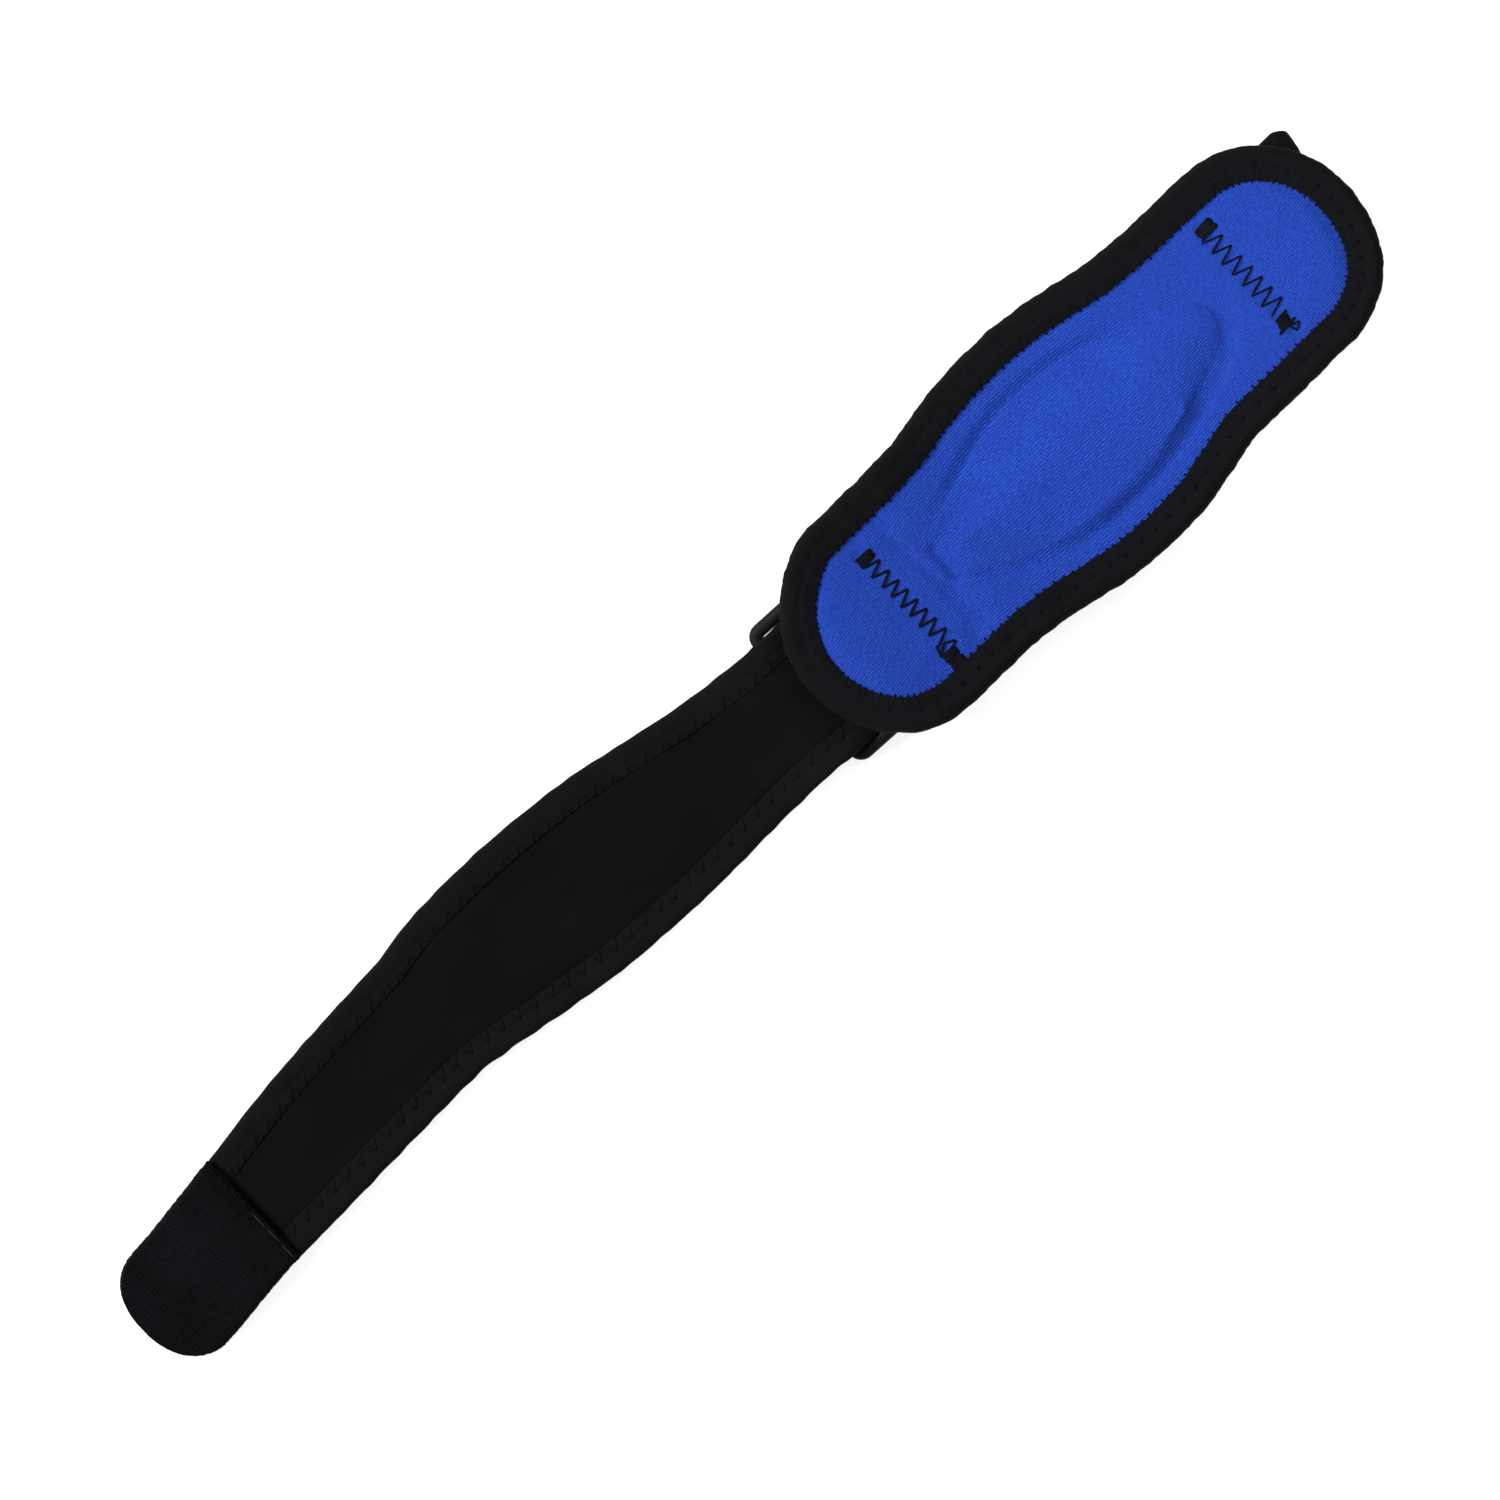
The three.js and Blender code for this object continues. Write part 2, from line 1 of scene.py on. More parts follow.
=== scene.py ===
# A tennis elbow strap laid flat: the finish of every piece, made round its fixed solids.
import json
import math
from collections import namedtuple
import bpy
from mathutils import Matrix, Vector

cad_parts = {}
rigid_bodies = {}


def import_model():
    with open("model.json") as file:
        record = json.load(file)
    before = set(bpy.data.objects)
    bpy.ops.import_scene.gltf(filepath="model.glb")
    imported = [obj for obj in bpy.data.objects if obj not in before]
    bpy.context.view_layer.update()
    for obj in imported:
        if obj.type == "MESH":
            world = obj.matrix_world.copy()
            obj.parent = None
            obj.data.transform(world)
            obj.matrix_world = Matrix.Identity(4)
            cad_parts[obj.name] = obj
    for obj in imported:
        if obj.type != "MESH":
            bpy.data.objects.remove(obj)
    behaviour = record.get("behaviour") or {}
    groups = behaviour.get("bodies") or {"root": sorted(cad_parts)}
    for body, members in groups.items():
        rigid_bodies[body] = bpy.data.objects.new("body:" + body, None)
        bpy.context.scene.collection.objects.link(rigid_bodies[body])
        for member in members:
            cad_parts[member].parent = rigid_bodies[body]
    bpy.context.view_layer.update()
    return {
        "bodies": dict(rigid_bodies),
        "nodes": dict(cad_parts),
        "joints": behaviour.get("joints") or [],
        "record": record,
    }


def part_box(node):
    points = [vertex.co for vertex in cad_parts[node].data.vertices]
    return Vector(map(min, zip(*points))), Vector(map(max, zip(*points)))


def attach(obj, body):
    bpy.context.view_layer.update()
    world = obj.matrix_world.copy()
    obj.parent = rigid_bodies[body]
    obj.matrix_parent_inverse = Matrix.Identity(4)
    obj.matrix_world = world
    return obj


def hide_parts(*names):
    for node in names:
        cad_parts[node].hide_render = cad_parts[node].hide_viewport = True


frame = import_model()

from types import SimpleNamespace

import bmesh
import bpy
import numpy as np
from bpy.props import FloatProperty, FloatVectorProperty, PointerProperty
from mathutils import Matrix, Vector

bl_info = {
    "name": "Tennis elbow strap",
    "version": (1, 0, 0),
    "blender": (4, 5, 0),
    "location": "3D View > Sidebar > Elbow strap",
    "description": "Makes the pad, strap, ring and stitching of a tennis elbow strap laid flat",
    "category": "Add Mesh",
}

MM = 0.001

# Clearances and walls that the solids have too
GAP = 0.3 * MM
PAD_TAPE_GAP = 0.45 * MM
FOLD_GAP = 0.5 * MM
RING_PLAY = 0.4 * MM
BACKING_WALL = 2.0 * MM
LINING_WALL = 1.0 * MM
PAD_SHIFT = 0.45 * MM
PAD_TAPE_WALL = 0.7 * MM
PAD_TAPE_ROLL = 1.9 * MM
STRAP_WALL = 2.6 * MM
STRAP_EDGE_WALL = 1.3 * MM
BOW = 0.6 * MM
FOLD_SHORT = 3.6 * MM
FOLD_SLANT = 0.115
STRAP_TAPE_WALL = 0.75 * MM
STRAP_TAPE_ROLL = 1.2 * MM
RING_CORNER = 3.4 * MM
RING_SECTION_POWER = 2.6
RING_TURN = math.radians(-1.8)
RING_REACH = 2.6 * MM
WEBBING_WALL = 1.6 * MM
SEAM_INSET = 29.1 * MM
WEBBING_OVERLAP = 4.5 * MM
STRAP_END_OVERLAP = 6.0 * MM
TAB_WALL = 1.6 * MM
TAB_OVERLAP = 9.0 * MM
TAB_STEP_LENGTH = 18.0 * MM
TAB_END_LENGTH = 12.0 * MM
TAB_TIP_POWER = 2.3
INSERT_END_LENGTH = 5.0 * MM

# How much wider the soft strap is than the slot that squeezes it
SLOT_SQUEEZE = 0.3 * MM

# Points on the outlines that distances are measured from, and on the pad's edge
OUTLINE_POINTS = 241
EDGE_POINTS = 6001
EVEN_EDGE_POINTS = 2401

Outline = namedtuple("Outline", "along left right")
Height = namedtuple("Height", "along height")
Run = namedtuple("Run", "along height width side slant")
TabRow = namedtuple("TabRow", "along width side step")
Groove = namedtuple("Groove", "line depth width")
Climb = namedtuple("Climb", "share start end")
Step = namedtuple("Step", "start end")
Wave = namedtuple("Wave", "height length seed")

# Half widths to each side as shares of half the width, at places in shares of half the length
PAD_OUTLINE = [
    Outline(-1.0, 0.775, 0.842),
    Outline(-0.86, 0.805, 0.842),
    Outline(-0.70, 0.868, 0.842),
    Outline(-0.50, 0.875, 0.838),
    Outline(-0.38, 0.891, 0.862),
    Outline(-0.26, 0.952, 0.922),
    Outline(-0.12, 0.993, 0.986),
    Outline(0.0, 1.0, 1.0),
    Outline(0.12, 0.973, 0.986),
    Outline(0.24, 0.916, 0.922),
    Outline(0.38, 0.856, 0.858),
    Outline(0.52, 0.841, 0.858),
    Outline(0.66, 0.84, 0.85),
    Outline(0.8, 0.826, 0.85),
    Outline(1.0, 0.82, 0.885),
]
INSERT_OUTLINE = [
    Outline(-1.0, 0.44, 0.27),
    Outline(-0.88, 0.52, 0.38),
    Outline(-0.62, 0.71, 0.71),
    Outline(-0.38, 0.90, 0.89),
    Outline(-0.12, 1.0, 0.96),
    Outline(0.12, 0.95, 0.95),
    Outline(0.4, 0.78, 0.83),
    Outline(0.7, 0.56, 0.62),
    Outline(0.9, 0.38, 0.42),
    Outline(1.0, 0.28, 0.30),
]


def length(name, description, millimetres):
    """A size that a maker would change, given in millimetres."""
    return FloatProperty(
        name=name, description=description, default=millimetres * MM, min=0.0,
        unit="LENGTH", subtype="DISTANCE", precision=4,
    )


def colour(name, description, red, green, blue):
    """A finish's colour, as the share of light that it sends back."""
    return FloatVectorProperty(
        name=name, description=description, default=(red, green, blue), size=3,
        min=0.0, max=1.0, subtype="COLOR",
    )


class ElbowStrapSizes(bpy.types.PropertyGroup):
    """The strap's driving sizes."""

    pad_length: length("Pad length", "From end to end of the pad", 162.4)
    pad_width: length("Pad width", "Across the pad's widest place", 61.8)
    pad_end_length: length("Pad end", "Length of each rounded end of the pad", 23.0)
    pad_tape_width: length("Pad tape", "Width of the tape over the pad's edge", 8.0)
    insert_length: length("Insert length", "Length of the raised almond", 82.0)
    insert_width: length("Insert width", "Width of the raised almond", 31.8)
    insert_height: length("Insert height", "How far the almond lifts the face", 3.2)
    strap_width: length("Strap width", "Across the strap's widest place", 41.0)
    strap_ring_width: length("Width in the ring", "Across the strap where the ring holds it", 30.4)
    strap_fold_width: length("Width at the fold", "Across the strap where it folds back", 39.0)
    free_length: length("Free length", "From the ring to the tab's edge", 166.2)
    strap_tape_width: length("Strap tape", "Width of the tape over the strap's edges", 6.8)
    slot_width: length("Slot width", "Across the ring's slot", 32.3)
    slot_length: length("Slot length", "Along the ring's slot", 17.4)
    ring_bar: length("Ring bar", "Thickness of the ring's bar", 3.2)
    webbing_width: length("Webbing width", "Across the webbing that holds the ring", 28.0)
    tab_length: length("Tab length", "From the tab's cut edge to its tip", 36.4)
    tab_width: length("Tab width", "Across the hook tab", 28.9)
    thread_width: length("Thread", "Thickness of the sewing thread", 0.4)
    knit_pitch: length("Knit pitch", "From one rib of the knit face to the next", 0.7)


class ElbowStrapFinishes(bpy.types.PropertyGroup):
    """The strap's colours."""

    knit: colour("Knit face", "Blue knit over the insert", 0.0172, 0.0560, 0.392)
    tape: colour("Tape", "Black tape over the edges", 0.0046, 0.0047, 0.0058)
    strap_tape: colour("Strap tape", "Black tape over the strap's edges", 0.0058, 0.0055, 0.0056)
    neoprene: colour("Neoprene", "Black cloth over the strap's neoprene", 0.0043, 0.0039, 0.0050)
    webbing: colour("Webbing", "Black webbing of the ring's loop", 0.0040, 0.0040, 0.0050)
    plastic: colour("Plastic", "Black plastic of the ring", 0.0050, 0.0050, 0.0060)
    hook: colour("Hook tape", "Black hook tape of the tab", 0.0040, 0.0035, 0.0048)
    thread: colour("Thread", "Black sewing thread", 0.0022, 0.0030, 0.0055)
    strap_thread: colour("Strap thread", "Thread of the strap's tape", 0.0052, 0.0046, 0.0040)
    # A paler grey thread for one half of the row of stitches along the tab's cut edge
    pale_thread: colour("Pale thread", "Thread that shows paler on the tab's edge", 0.020, 0.020, 0.022)


def between(rows, column, along):
    """A column of a table at places along it, on a smooth curve that never overshoots its rows."""
    at = np.array([row.along for row in rows])
    value = np.array([getattr(row, column) for row in rows])
    slope = np.diff(value) / np.diff(at)
    product = slope[:-1] * slope[1:]
    total = slope[:-1] + slope[1:]
    tangent = np.zeros(len(at))
    tangent[1:-1] = np.where(product > 0, 2 * product / np.where(product > 0, total, 1), 0)
    place = np.clip(along, at[0], at[-1])
    i = np.clip(np.searchsorted(at, place, side="right") - 1, 0, len(at) - 2)
    span = np.diff(at)[i]
    t = (place - at[i]) / span
    rest = 1 - t
    return (
        rest * rest * (1 + 2 * t) * value[i]
        + t * t * (3 - 2 * t) * value[i + 1]
        + t * rest * span * (rest * tangent[i] - t * tangent[i + 1])
    )


def smooth(value, low, high):
    """0 below low, 1 above high, with a soft step between."""
    t = np.clip((value - low) / (high - low), 0, 1)
    return t * t * (3 - 2 * t)


def stepped(value, step):
    """0 before a step given in millimetres, 1 after it."""
    return smooth(value, step.start * MM, step.end * MM)


def bump_at(distance, width):
    """A soft bump, 1 at no distance and gone at about twice its width."""
    return np.exp(-((distance / width) ** 2))


def ripple(points, wavelength, seed, waves=7):
    """A smooth unevenness of about -1 to 1, the same each run: a sum of seeded waves."""
    draw = np.random.default_rng(seed)
    total = np.zeros(len(points))
    for _ in range(waves):
        direction = draw.normal(size=points.shape[1])
        direction /= np.linalg.norm(direction)
        own_length = wavelength * draw.uniform(0.6, 1.6)
        total += np.sin(points @ direction * (2 * np.pi / own_length) + draw.uniform(0, 2 * np.pi))
    return total / math.sqrt(2 * waves)


def uneven(points, *waves):
    """A smooth unevenness made of waves whose heights and lengths are in millimetres."""
    return sum(row.height * MM * ripple(points, row.length * MM, row.seed) for row in waves)


def end_rounding(from_end, end_length, power):
    """How much of the full width is left inside a rounded end."""
    t = np.clip(1 - from_end / end_length, 0, 1)
    return (1 - t**power) ** (1 / power)


def outline_places(rows, whole_length, whole_width, end_length, angle):
    """Places on an outline given by its table, at angles round it."""
    along = np.cos(angle)
    on_left = np.sin(angle) >= 0
    share = np.where(on_left, between(rows, "left", along), between(rows, "right", along))
    from_end = (1 - np.abs(along)) * whole_length / 2
    half = share * whole_width * end_rounding(from_end, end_length, 2) / 2
    return np.stack([along * whole_length / 2, np.where(on_left, half, -half)], axis=-1)


def line_distance(points, line):
    """How far each point lies from a line of points."""
    best = np.full(len(points), np.inf)
    for start, end in zip(line[:-1], line[1:]):
        step = end - start
        t = np.clip((points - start) @ step / (step @ step), 0, 1)
        best = np.minimum(best, np.linalg.norm(points - start - t[:, None] * step, axis=1))
    return best


class Layout:
    """Heights and places that follow from the sizes, the same as the solids have."""

    def __init__(self, size):
        self.size = size
        self.strap_thick = STRAP_EDGE_WALL + 2 * (GAP + STRAP_TAPE_WALL)
        self.floor_run = self.strap_thick / 2
        self.ring_pin = self.strap_thick + GAP + WEBBING_WALL + GAP + self.strap_thick / 2
        self.outer_bar = 0.55 * size.ring_bar
        self.over_bar = self.outer_bar + size.ring_bar / 2 + GAP + self.strap_thick / 2
        self.middle_run = self.ring_pin + BOW
        self.fold_run = self.strap_thick + FOLD_GAP + self.strap_thick / 2
        self.below_pad = PAD_TAPE_GAP + PAD_TAPE_WALL
        self.pad_half = size.pad_length / 2
        self.fold_x = self.pad_half - FOLD_SHORT
        self.seam_low_x = -self.pad_half + SEAM_INSET
        self.outer_bar_x = -self.pad_half - RING_REACH + size.ring_bar / 2
        self.bar_spacing = size.slot_length + size.ring_bar
        self.ring_rise = self.ring_pin - self.outer_bar
        self.inner_bar_x = self.outer_bar_x + math.sqrt(self.bar_spacing**2 - self.ring_rise**2)
        self.tab_edge_x = self.outer_bar_x - size.free_length
        self.tab_tip_x = self.tab_edge_x - size.tab_length
        self.sheets = BACKING_WALL + GAP + LINING_WALL
        self.ring_share = size.strap_ring_width / size.strap_width
        self.fold_share = size.strap_fold_width / size.strap_width
        self.slot_share = (size.slot_width + SLOT_SQUEEZE) / size.strap_width
        self.slot_side = PAD_SHIFT / size.strap_width
        low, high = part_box("pad_binding")
        loop_low, loop_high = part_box("ring_loop")
        self.shift = np.array([
            (low.x + high.x) / 2, (loop_low.y + loop_high.y) / 2 - PAD_SHIFT, 0.0,
        ])
        self.pad_rows = self.pad_height_rows()
        self.pad_loop = self.even_loop()
        self.insert_edge = self.insert_outline()
        self.pad_edge = self.pad_places(np.linspace(0, 2 * np.pi, OUTLINE_POINTS))

    def pad_height_rows(self):
        """The pad's underside: it droops past the ring and past the fold."""
        over_bar = self.over_bar + self.strap_thick / 2 + GAP + self.below_pad
        over_ring = self.ring_pin + self.strap_thick / 2 + GAP + WEBBING_WALL + 2 * GAP
        over_strap = self.middle_run + self.strap_thick / 2 + GAP
        over_fold = self.fold_run + self.strap_thick / 2 + GAP + self.below_pad
        return [
            Height(-1.0, over_bar),
            Height(-0.91, over_bar + 0.55 * (over_ring - over_bar)),
            Height(-0.82, over_ring),
            Height(-0.52, over_ring),
            Height(-0.25, over_strap),
            Height(0.62, over_strap),
            Height(0.8, over_fold + 0.7 * (over_strap - over_fold)),
            Height(0.92, over_fold + 0.2 * (over_strap - over_fold)),
            Height(1.0, over_fold),
        ]

    def pad_base(self, x):
        """Height of the pad's underside at places along it."""
        return between(self.pad_rows, "height", x / self.pad_half)

    def pad_places(self, angle):
        """Places on the pad's outline at angles round it."""
        size = self.size
        places = outline_places(
            PAD_OUTLINE, size.pad_length, size.pad_width, size.pad_end_length, angle
        )
        return places + [0, PAD_SHIFT]

    def insert_outline(self):
        """The insert's outline as a line of points."""
        size = self.size
        angle = np.linspace(0, 2 * np.pi, OUTLINE_POINTS)
        places = outline_places(
            INSERT_OUTLINE, size.insert_length, size.insert_width, INSERT_END_LENGTH, angle
        )
        return places + [0, PAD_SHIFT]

    def even_loop(self):
        """The pad's outline as evenly spaced places, with the way out at each."""
        dense = self.pad_places(np.linspace(0, 2 * np.pi, EDGE_POINTS))
        run = np.concatenate([[0], np.cumsum(np.linalg.norm(np.diff(dense, axis=0), axis=1))])
        share = np.linspace(0, 1, EVEN_EDGE_POINTS)
        x = np.interp(share * run[-1], run, dense[:, 0])
        y = np.interp(share * run[-1], run, dense[:, 1])
        ahead = np.stack([np.roll(x[:-1], -4) - np.roll(x[:-1], 4),
                          np.roll(y[:-1], -4) - np.roll(y[:-1], 4)], axis=1)
        ahead /= np.linalg.norm(ahead, axis=1)[:, None]
        ahead = np.concatenate([ahead, ahead[:1]])
        return SimpleNamespace(
            share=share, x=x, y=y, out_x=ahead[:, 1], out_y=-ahead[:, 0], length=run[-1]
        )

    def on_loop(self, share):
        """Places on the pad's outline, and the way out there."""
        loop = self.pad_loop
        share = share % 1.0
        places = np.stack([np.interp(share, loop.share, c) for c in (loop.x, loop.y)], axis=1)
        out = np.stack([np.interp(share, loop.share, c) for c in (loop.out_x, loop.out_y)], axis=1)
        return places, out / np.linalg.norm(out, axis=1)[:, None]

    def insert_inside(self, x, y):
        """How far inside the insert's outline places lie, negative outside it."""
        size = self.size
        along = 2 * x / size.insert_length
        from_end = (1 - np.abs(along)) * size.insert_length / 2
        half = size.insert_width / 2 * end_rounding(from_end, INSERT_END_LENGTH, 2)
        across = y - PAD_SHIFT
        left = between(INSERT_OUTLINE, "left", along) * half
        right = between(INSERT_OUTLINE, "right", along) * half
        inside = (np.abs(along) < 1) & (across < left) & (across > -right)
        distance = line_distance(np.stack([x, y], axis=1), self.insert_edge)
        return np.where(inside, distance, -distance)


# The pad's face

FACE_GRID = (330, 132)
BACK_GRID = (130, 50)
TAPE_GRID = (960, 44)
CLOTH_GRID = (120, 48)
CLOTH_FRAMES = 20
CLOTH_PRESSURE = 4.0
CLOTH_MASS = 0.002
CLOTH_CAP = 0.5 * MM
UPPER_SEAM_X = 51.2 * MM
SEAM_PULL = 0.42 * MM
SEAM_PULL_WIDTH = 1.9 * MM
SEAM_PUCKER = 0.35
SEAM_PUCKER_PITCH = 3.05 * MM
TIP_START = 21.0 * MM
TIP_SHARE = 0.8
PAD_BACK_WALL = 1.1 * MM
EDGE_ANGLE_STEP = 0.002

# How far the tape, the insert's rim and a seam hold the face still while it swells
TAPE_HOLD = 1 * MM
RIM_HOLD = 1.2 * MM
SEAM_HOLD = 3.4 * MM

# Where the face changes from one form to another, in millimetres: from the tape inwards, past a
# seam's ends, from the far side to the near one, along the near side towards the ring, along both
# sides and along the hollow towards the ring, and towards the insert's tip
FROM_TAPE = Step(6, 12)
SEAM_END = Step(16, 20)
TO_NEAR_SIDE = Step(-6, 6)
NEAR_SIDE_END = Step(4, 30)
SIDES_END = Step(20, 40)
HOLLOW_END = Step(24, 38)
TOWARDS_TIP = Step(10, 32)

# Each padded end's steps: how high it rises, and between which distances from the pad's middle
FAR_END_RISES = [(0.5, Step(42, 49)), (0.7, Step(52, 72))]
RING_END_RISES = [(1.0, Step(53, 68))]

# The near side's crease: its depth, how far outside the insert it lies, and its width
NEAR_CREASE = 0.45 * MM
NEAR_CREASE_OUT = 2.6 * MM
NEAR_CREASE_WIDTH = 1.7 * MM

# How the face climbs onto the insert: shares of the insert's height, each gained between two
# distances inside the insert's outline, in millimetres. The far side has a thin rim with a
# hollow outside it, and the near side is one long slope. Past TIP_START the face falls to the
# insert's tip, ever more steeply.
FAR_CLIMB = [
    Climb(-0.42, -4.2, -0.4),
    Climb(0.17, -0.7, 0.3),
    Climb(0.58, -0.2, 9.5),
    Climb(0.55, 4.0, 16.0),
]
NEAR_CLIMB = [
    Climb(0.68, -4.3, 1.3),
    Climb(0.22, 0.5, 16.0),
]

# Folds pressed into the face, on places along and across the pad, in millimetres.
# A depth below nothing is a ridge.
GROOVES = [
    Groove([(-39.9, 4.8), (-40.3, -3.5)], 1.1, 1.3),
    Groove([(34.5, 8.0), (38.8, 5.6), (41.2, 1.2), (41.0, -2.6), (38.0, -6.2)], 0.5, 1.4),
    Groove([(-42.5, -3), (-42.2, -16)], 0.6, 1.2),
    Groove([(-45.4, 18), (-44.0, -1), (-44.4, -15)], 0.5, 1.4),
    Groove([(-46.4, -13), (-46.2, -17)], 0.3, 1.2),
    Groove([(-38, 5.2), (-33, 6.6)], 0.2, 1.2),
    Groove([(-50.6, 14), (-50.4, -15)], -0.4, 2.0),
    Groove([(6, 14.2), (18, 11), (30, 7.6)], 0.12, 0.9),
]


def on_plane(pairs):
    """Places in millimetres as points in metres."""
    return np.array(pairs, float) * MM


def seam_line(layout, upper):
    """Where a seam lies along the pad."""
    return UPPER_SEAM_X if upper else layout.seam_low_x


def climbed(rows, inside):
    """The share of the insert's height that the face has gained at distances inside its outline."""
    return sum(row.share * smooth(inside, row.start * MM, row.end * MM) for row in rows)


def lobe_relief(x):
    """The pad's two padded ends, which rise outwards from their seams."""
    far_end = sum(rise * MM * stepped(x, step) for rise, step in FAR_END_RISES)
    ring_end = sum(rise * MM * stepped(-x, step) for rise, step in RING_END_RISES)
    return far_end + ring_end


def room_to_edge(layout, x, y):
    """How far places lie from the pad's edge."""
    return line_distance(np.stack([x, y], axis=1), layout.pad_edge)


def face_relief(layout, x, y):
    """How far the pad's face stands above or below its flat height."""
    inside = layout.insert_inside(x, y)
    near_side = stepped(-y, TO_NEAR_SIDE) * (1 - 0.5 * stepped(-x, NEAR_SIDE_END))
    far, near = climbed(FAR_CLIMB, inside), climbed(NEAR_CLIMB, inside)
    sides = (far + near_side * (near - far)) * (1 - 0.3 * stepped(-x, SIDES_END))
    sides -= 0.8 * np.minimum(sides, 0) * stepped(-x, HOLLOW_END)
    past = np.maximum(x - TIP_START, 0)
    gone = past / (past + np.maximum(inside, 0) + 0.01 * MM)
    tip = TIP_SHARE * (1 - gone**2) * (inside > 0)
    relief = layout.size.insert_height * (sides + stepped(x, TOWARDS_TIP) * (tip - sides))
    relief -= NEAR_CREASE * near_side * bump_at(inside + NEAR_CREASE_OUT, NEAR_CREASE_WIDTH)
    relief += lobe_relief(x)
    points = np.stack([x, y], axis=1)
    for groove in GROOVES:
        distance = line_distance(points, on_plane(groove.line))
        relief -= groove.depth * MM * bump_at(distance, groove.width * MM)
    for upper in (True, False):
        across = x - seam_line(layout, upper)
        held = 1 - stepped(np.abs(y), SEAM_END)
        pucker = 1 + SEAM_PUCKER * np.cos(2 * np.pi * y / SEAM_PUCKER_PITCH)
        relief -= SEAM_PULL * held * bump_at(across, SEAM_PULL_WIDTH) * pucker
    relief += uneven(points, Wave(0.08, 17, 3))
    relief += uneven(points * [0.6, 1.0], Wave(0.02, 5, 4))
    return relief * stepped(room_to_edge(layout, x, y), FROM_TAPE)


def face_height(layout, x, y):
    """Height of the pad's face at places on it."""
    return layout.pad_base(x) + layout.sheets + face_relief(layout, x, y)


def face_places(layout, s, t):
    """Places of the whole face, from its grid's places, before it swells."""
    x, y = pad_plane(layout, s, t, PAD_TAPE_WALL + GAP)
    return np.column_stack([x, y, face_height(layout, x, y)])


def held_places(layout, x, y):
    """Where stitches, the tape and the insert's rim hold the face."""
    under_tape = room_to_edge(layout, x, y) < layout.size.pad_tape_width + TAPE_HOLD
    at_rim = np.abs(layout.insert_inside(x, y)) < RIM_HOLD
    at_seam = np.zeros(len(x), bool)
    for upper in (True, False):
        at_seam |= np.abs(x - seam_line(layout, upper)) < SEAM_HOLD
    return under_tape | at_rim | at_seam


def face_swell(layout):
    """How far the face swells where nothing holds it, over a coarse grid of its places.

    A coarse copy of the face is run as cloth with air under it, then removed.
    """
    scene = bpy.context.scene
    bm = bmesh.new()
    flat = grid_places(bm, *CLOTH_GRID)
    places = face_places(layout, flat[:, 0], flat[:, 1])
    for vert, place in zip(bm.verts, places):
        vert.co = place
    copy = piece_from_bmesh("face_cloth", bm)
    held = copy.vertex_groups.new(name="held")
    fixed = np.flatnonzero(held_places(layout, places[:, 0], places[:, 1]))
    held.add([int(i) for i in fixed], 1.0, "REPLACE")
    cloth = copy.modifiers.new("Cloth", "CLOTH")
    cloth.settings.mass = CLOTH_MASS
    cloth.settings.vertex_group_mass = "held"
    cloth.settings.use_pressure = True
    cloth.settings.uniform_pressure_force = CLOTH_PRESSURE
    cloth.settings.effector_weights.gravity = 0.0
    cloth.point_cache.frame_start = 1
    cloth.point_cache.frame_end = CLOTH_FRAMES
    for frame in range(1, CLOTH_FRAMES + 1):
        scene.frame_set(frame)
    swollen = copy.evaluated_get(bpy.context.evaluated_depsgraph_get()).to_mesh()
    risen = np.array([vert.co.z for vert in swollen.vertices]) - places[:, 2]
    bpy.data.objects.remove(copy)
    scene.frame_set(1)
    order = np.lexsort((flat[:, 0], flat[:, 1]))
    rows = CLOTH_GRID[1] + 1
    return np.clip(risen, -CLOTH_CAP, CLOTH_CAP)[order].reshape(rows, -1)


def over_grid(values, s, t):
    """Values of a grid's points at places anywhere on it."""
    rows, columns = values.shape
    a, b = (s + 1) / 2 * (columns - 1), (t + 1) / 2 * (rows - 1)
    i = np.clip(a.astype(int), 0, columns - 2)
    j = np.clip(b.astype(int), 0, rows - 2)
    a, b = a - i, b - j
    low = values[j, i] * (1 - a) + values[j, i + 1] * a
    high = values[j + 1, i] * (1 - a) + values[j + 1, i + 1] * a
    return low * (1 - b) + high * b


def disc(s, t):
    """A square's places moved onto a disc, with no pole and no seam."""
    return s * np.sqrt(1 - t * t / 2), t * np.sqrt(1 - s * s / 2)


def pad_plane(layout, s, t, inset):
    """Places over the whole pad, as far as the inset from its edge."""
    across, up = disc(s, t)
    angle = np.arctan2(up, across)
    before, after = (layout.pad_places(angle + step) for step in (-EDGE_ANGLE_STEP, EDGE_ANGLE_STEP))
    ahead = (after - before) / np.linalg.norm(after - before, axis=1)[:, None]
    out = np.stack([ahead[:, 1], -ahead[:, 0]], axis=1)
    edge = layout.pad_places(angle) - inset * out
    radius = np.hypot(across, up)
    return edge[:, 0] * radius, (edge[:, 1] - PAD_SHIFT) * radius + PAD_SHIFT


def grid_places(bm, columns, rows):
    """A square grid from -1 to 1 in the bmesh, and its points' places."""
    bmesh.ops.create_grid(bm, x_segments=columns, y_segments=rows, size=1.0)
    return np.array([v.co.xy for v in bm.verts])


def piece_from_grid(name, columns, rows, shape, pattern, layout, seam=False):
    """A piece made of a grid whose points shape() moves to their places.

    pattern() gives each point's place on the cloth in millimetres. With seam, the grid's
    edges meet and are merged.
    """
    bm = bmesh.new()
    flat = grid_places(bm, columns, rows)
    places = shape(flat[:, 0], flat[:, 1]) + layout.shift
    cloth = pattern(flat[:, 0], flat[:, 1])
    layer = bm.loops.layers.uv.new("cloth")
    for vert, place, spot in zip(bm.verts, places, cloth):
        vert.co = place
        for loop in vert.link_loops:
            loop[layer].uv = spot
    if seam:
        bmesh.ops.remove_doubles(bm, verts=bm.verts, dist=0.00001)
    return piece_from_bmesh(name, bm)


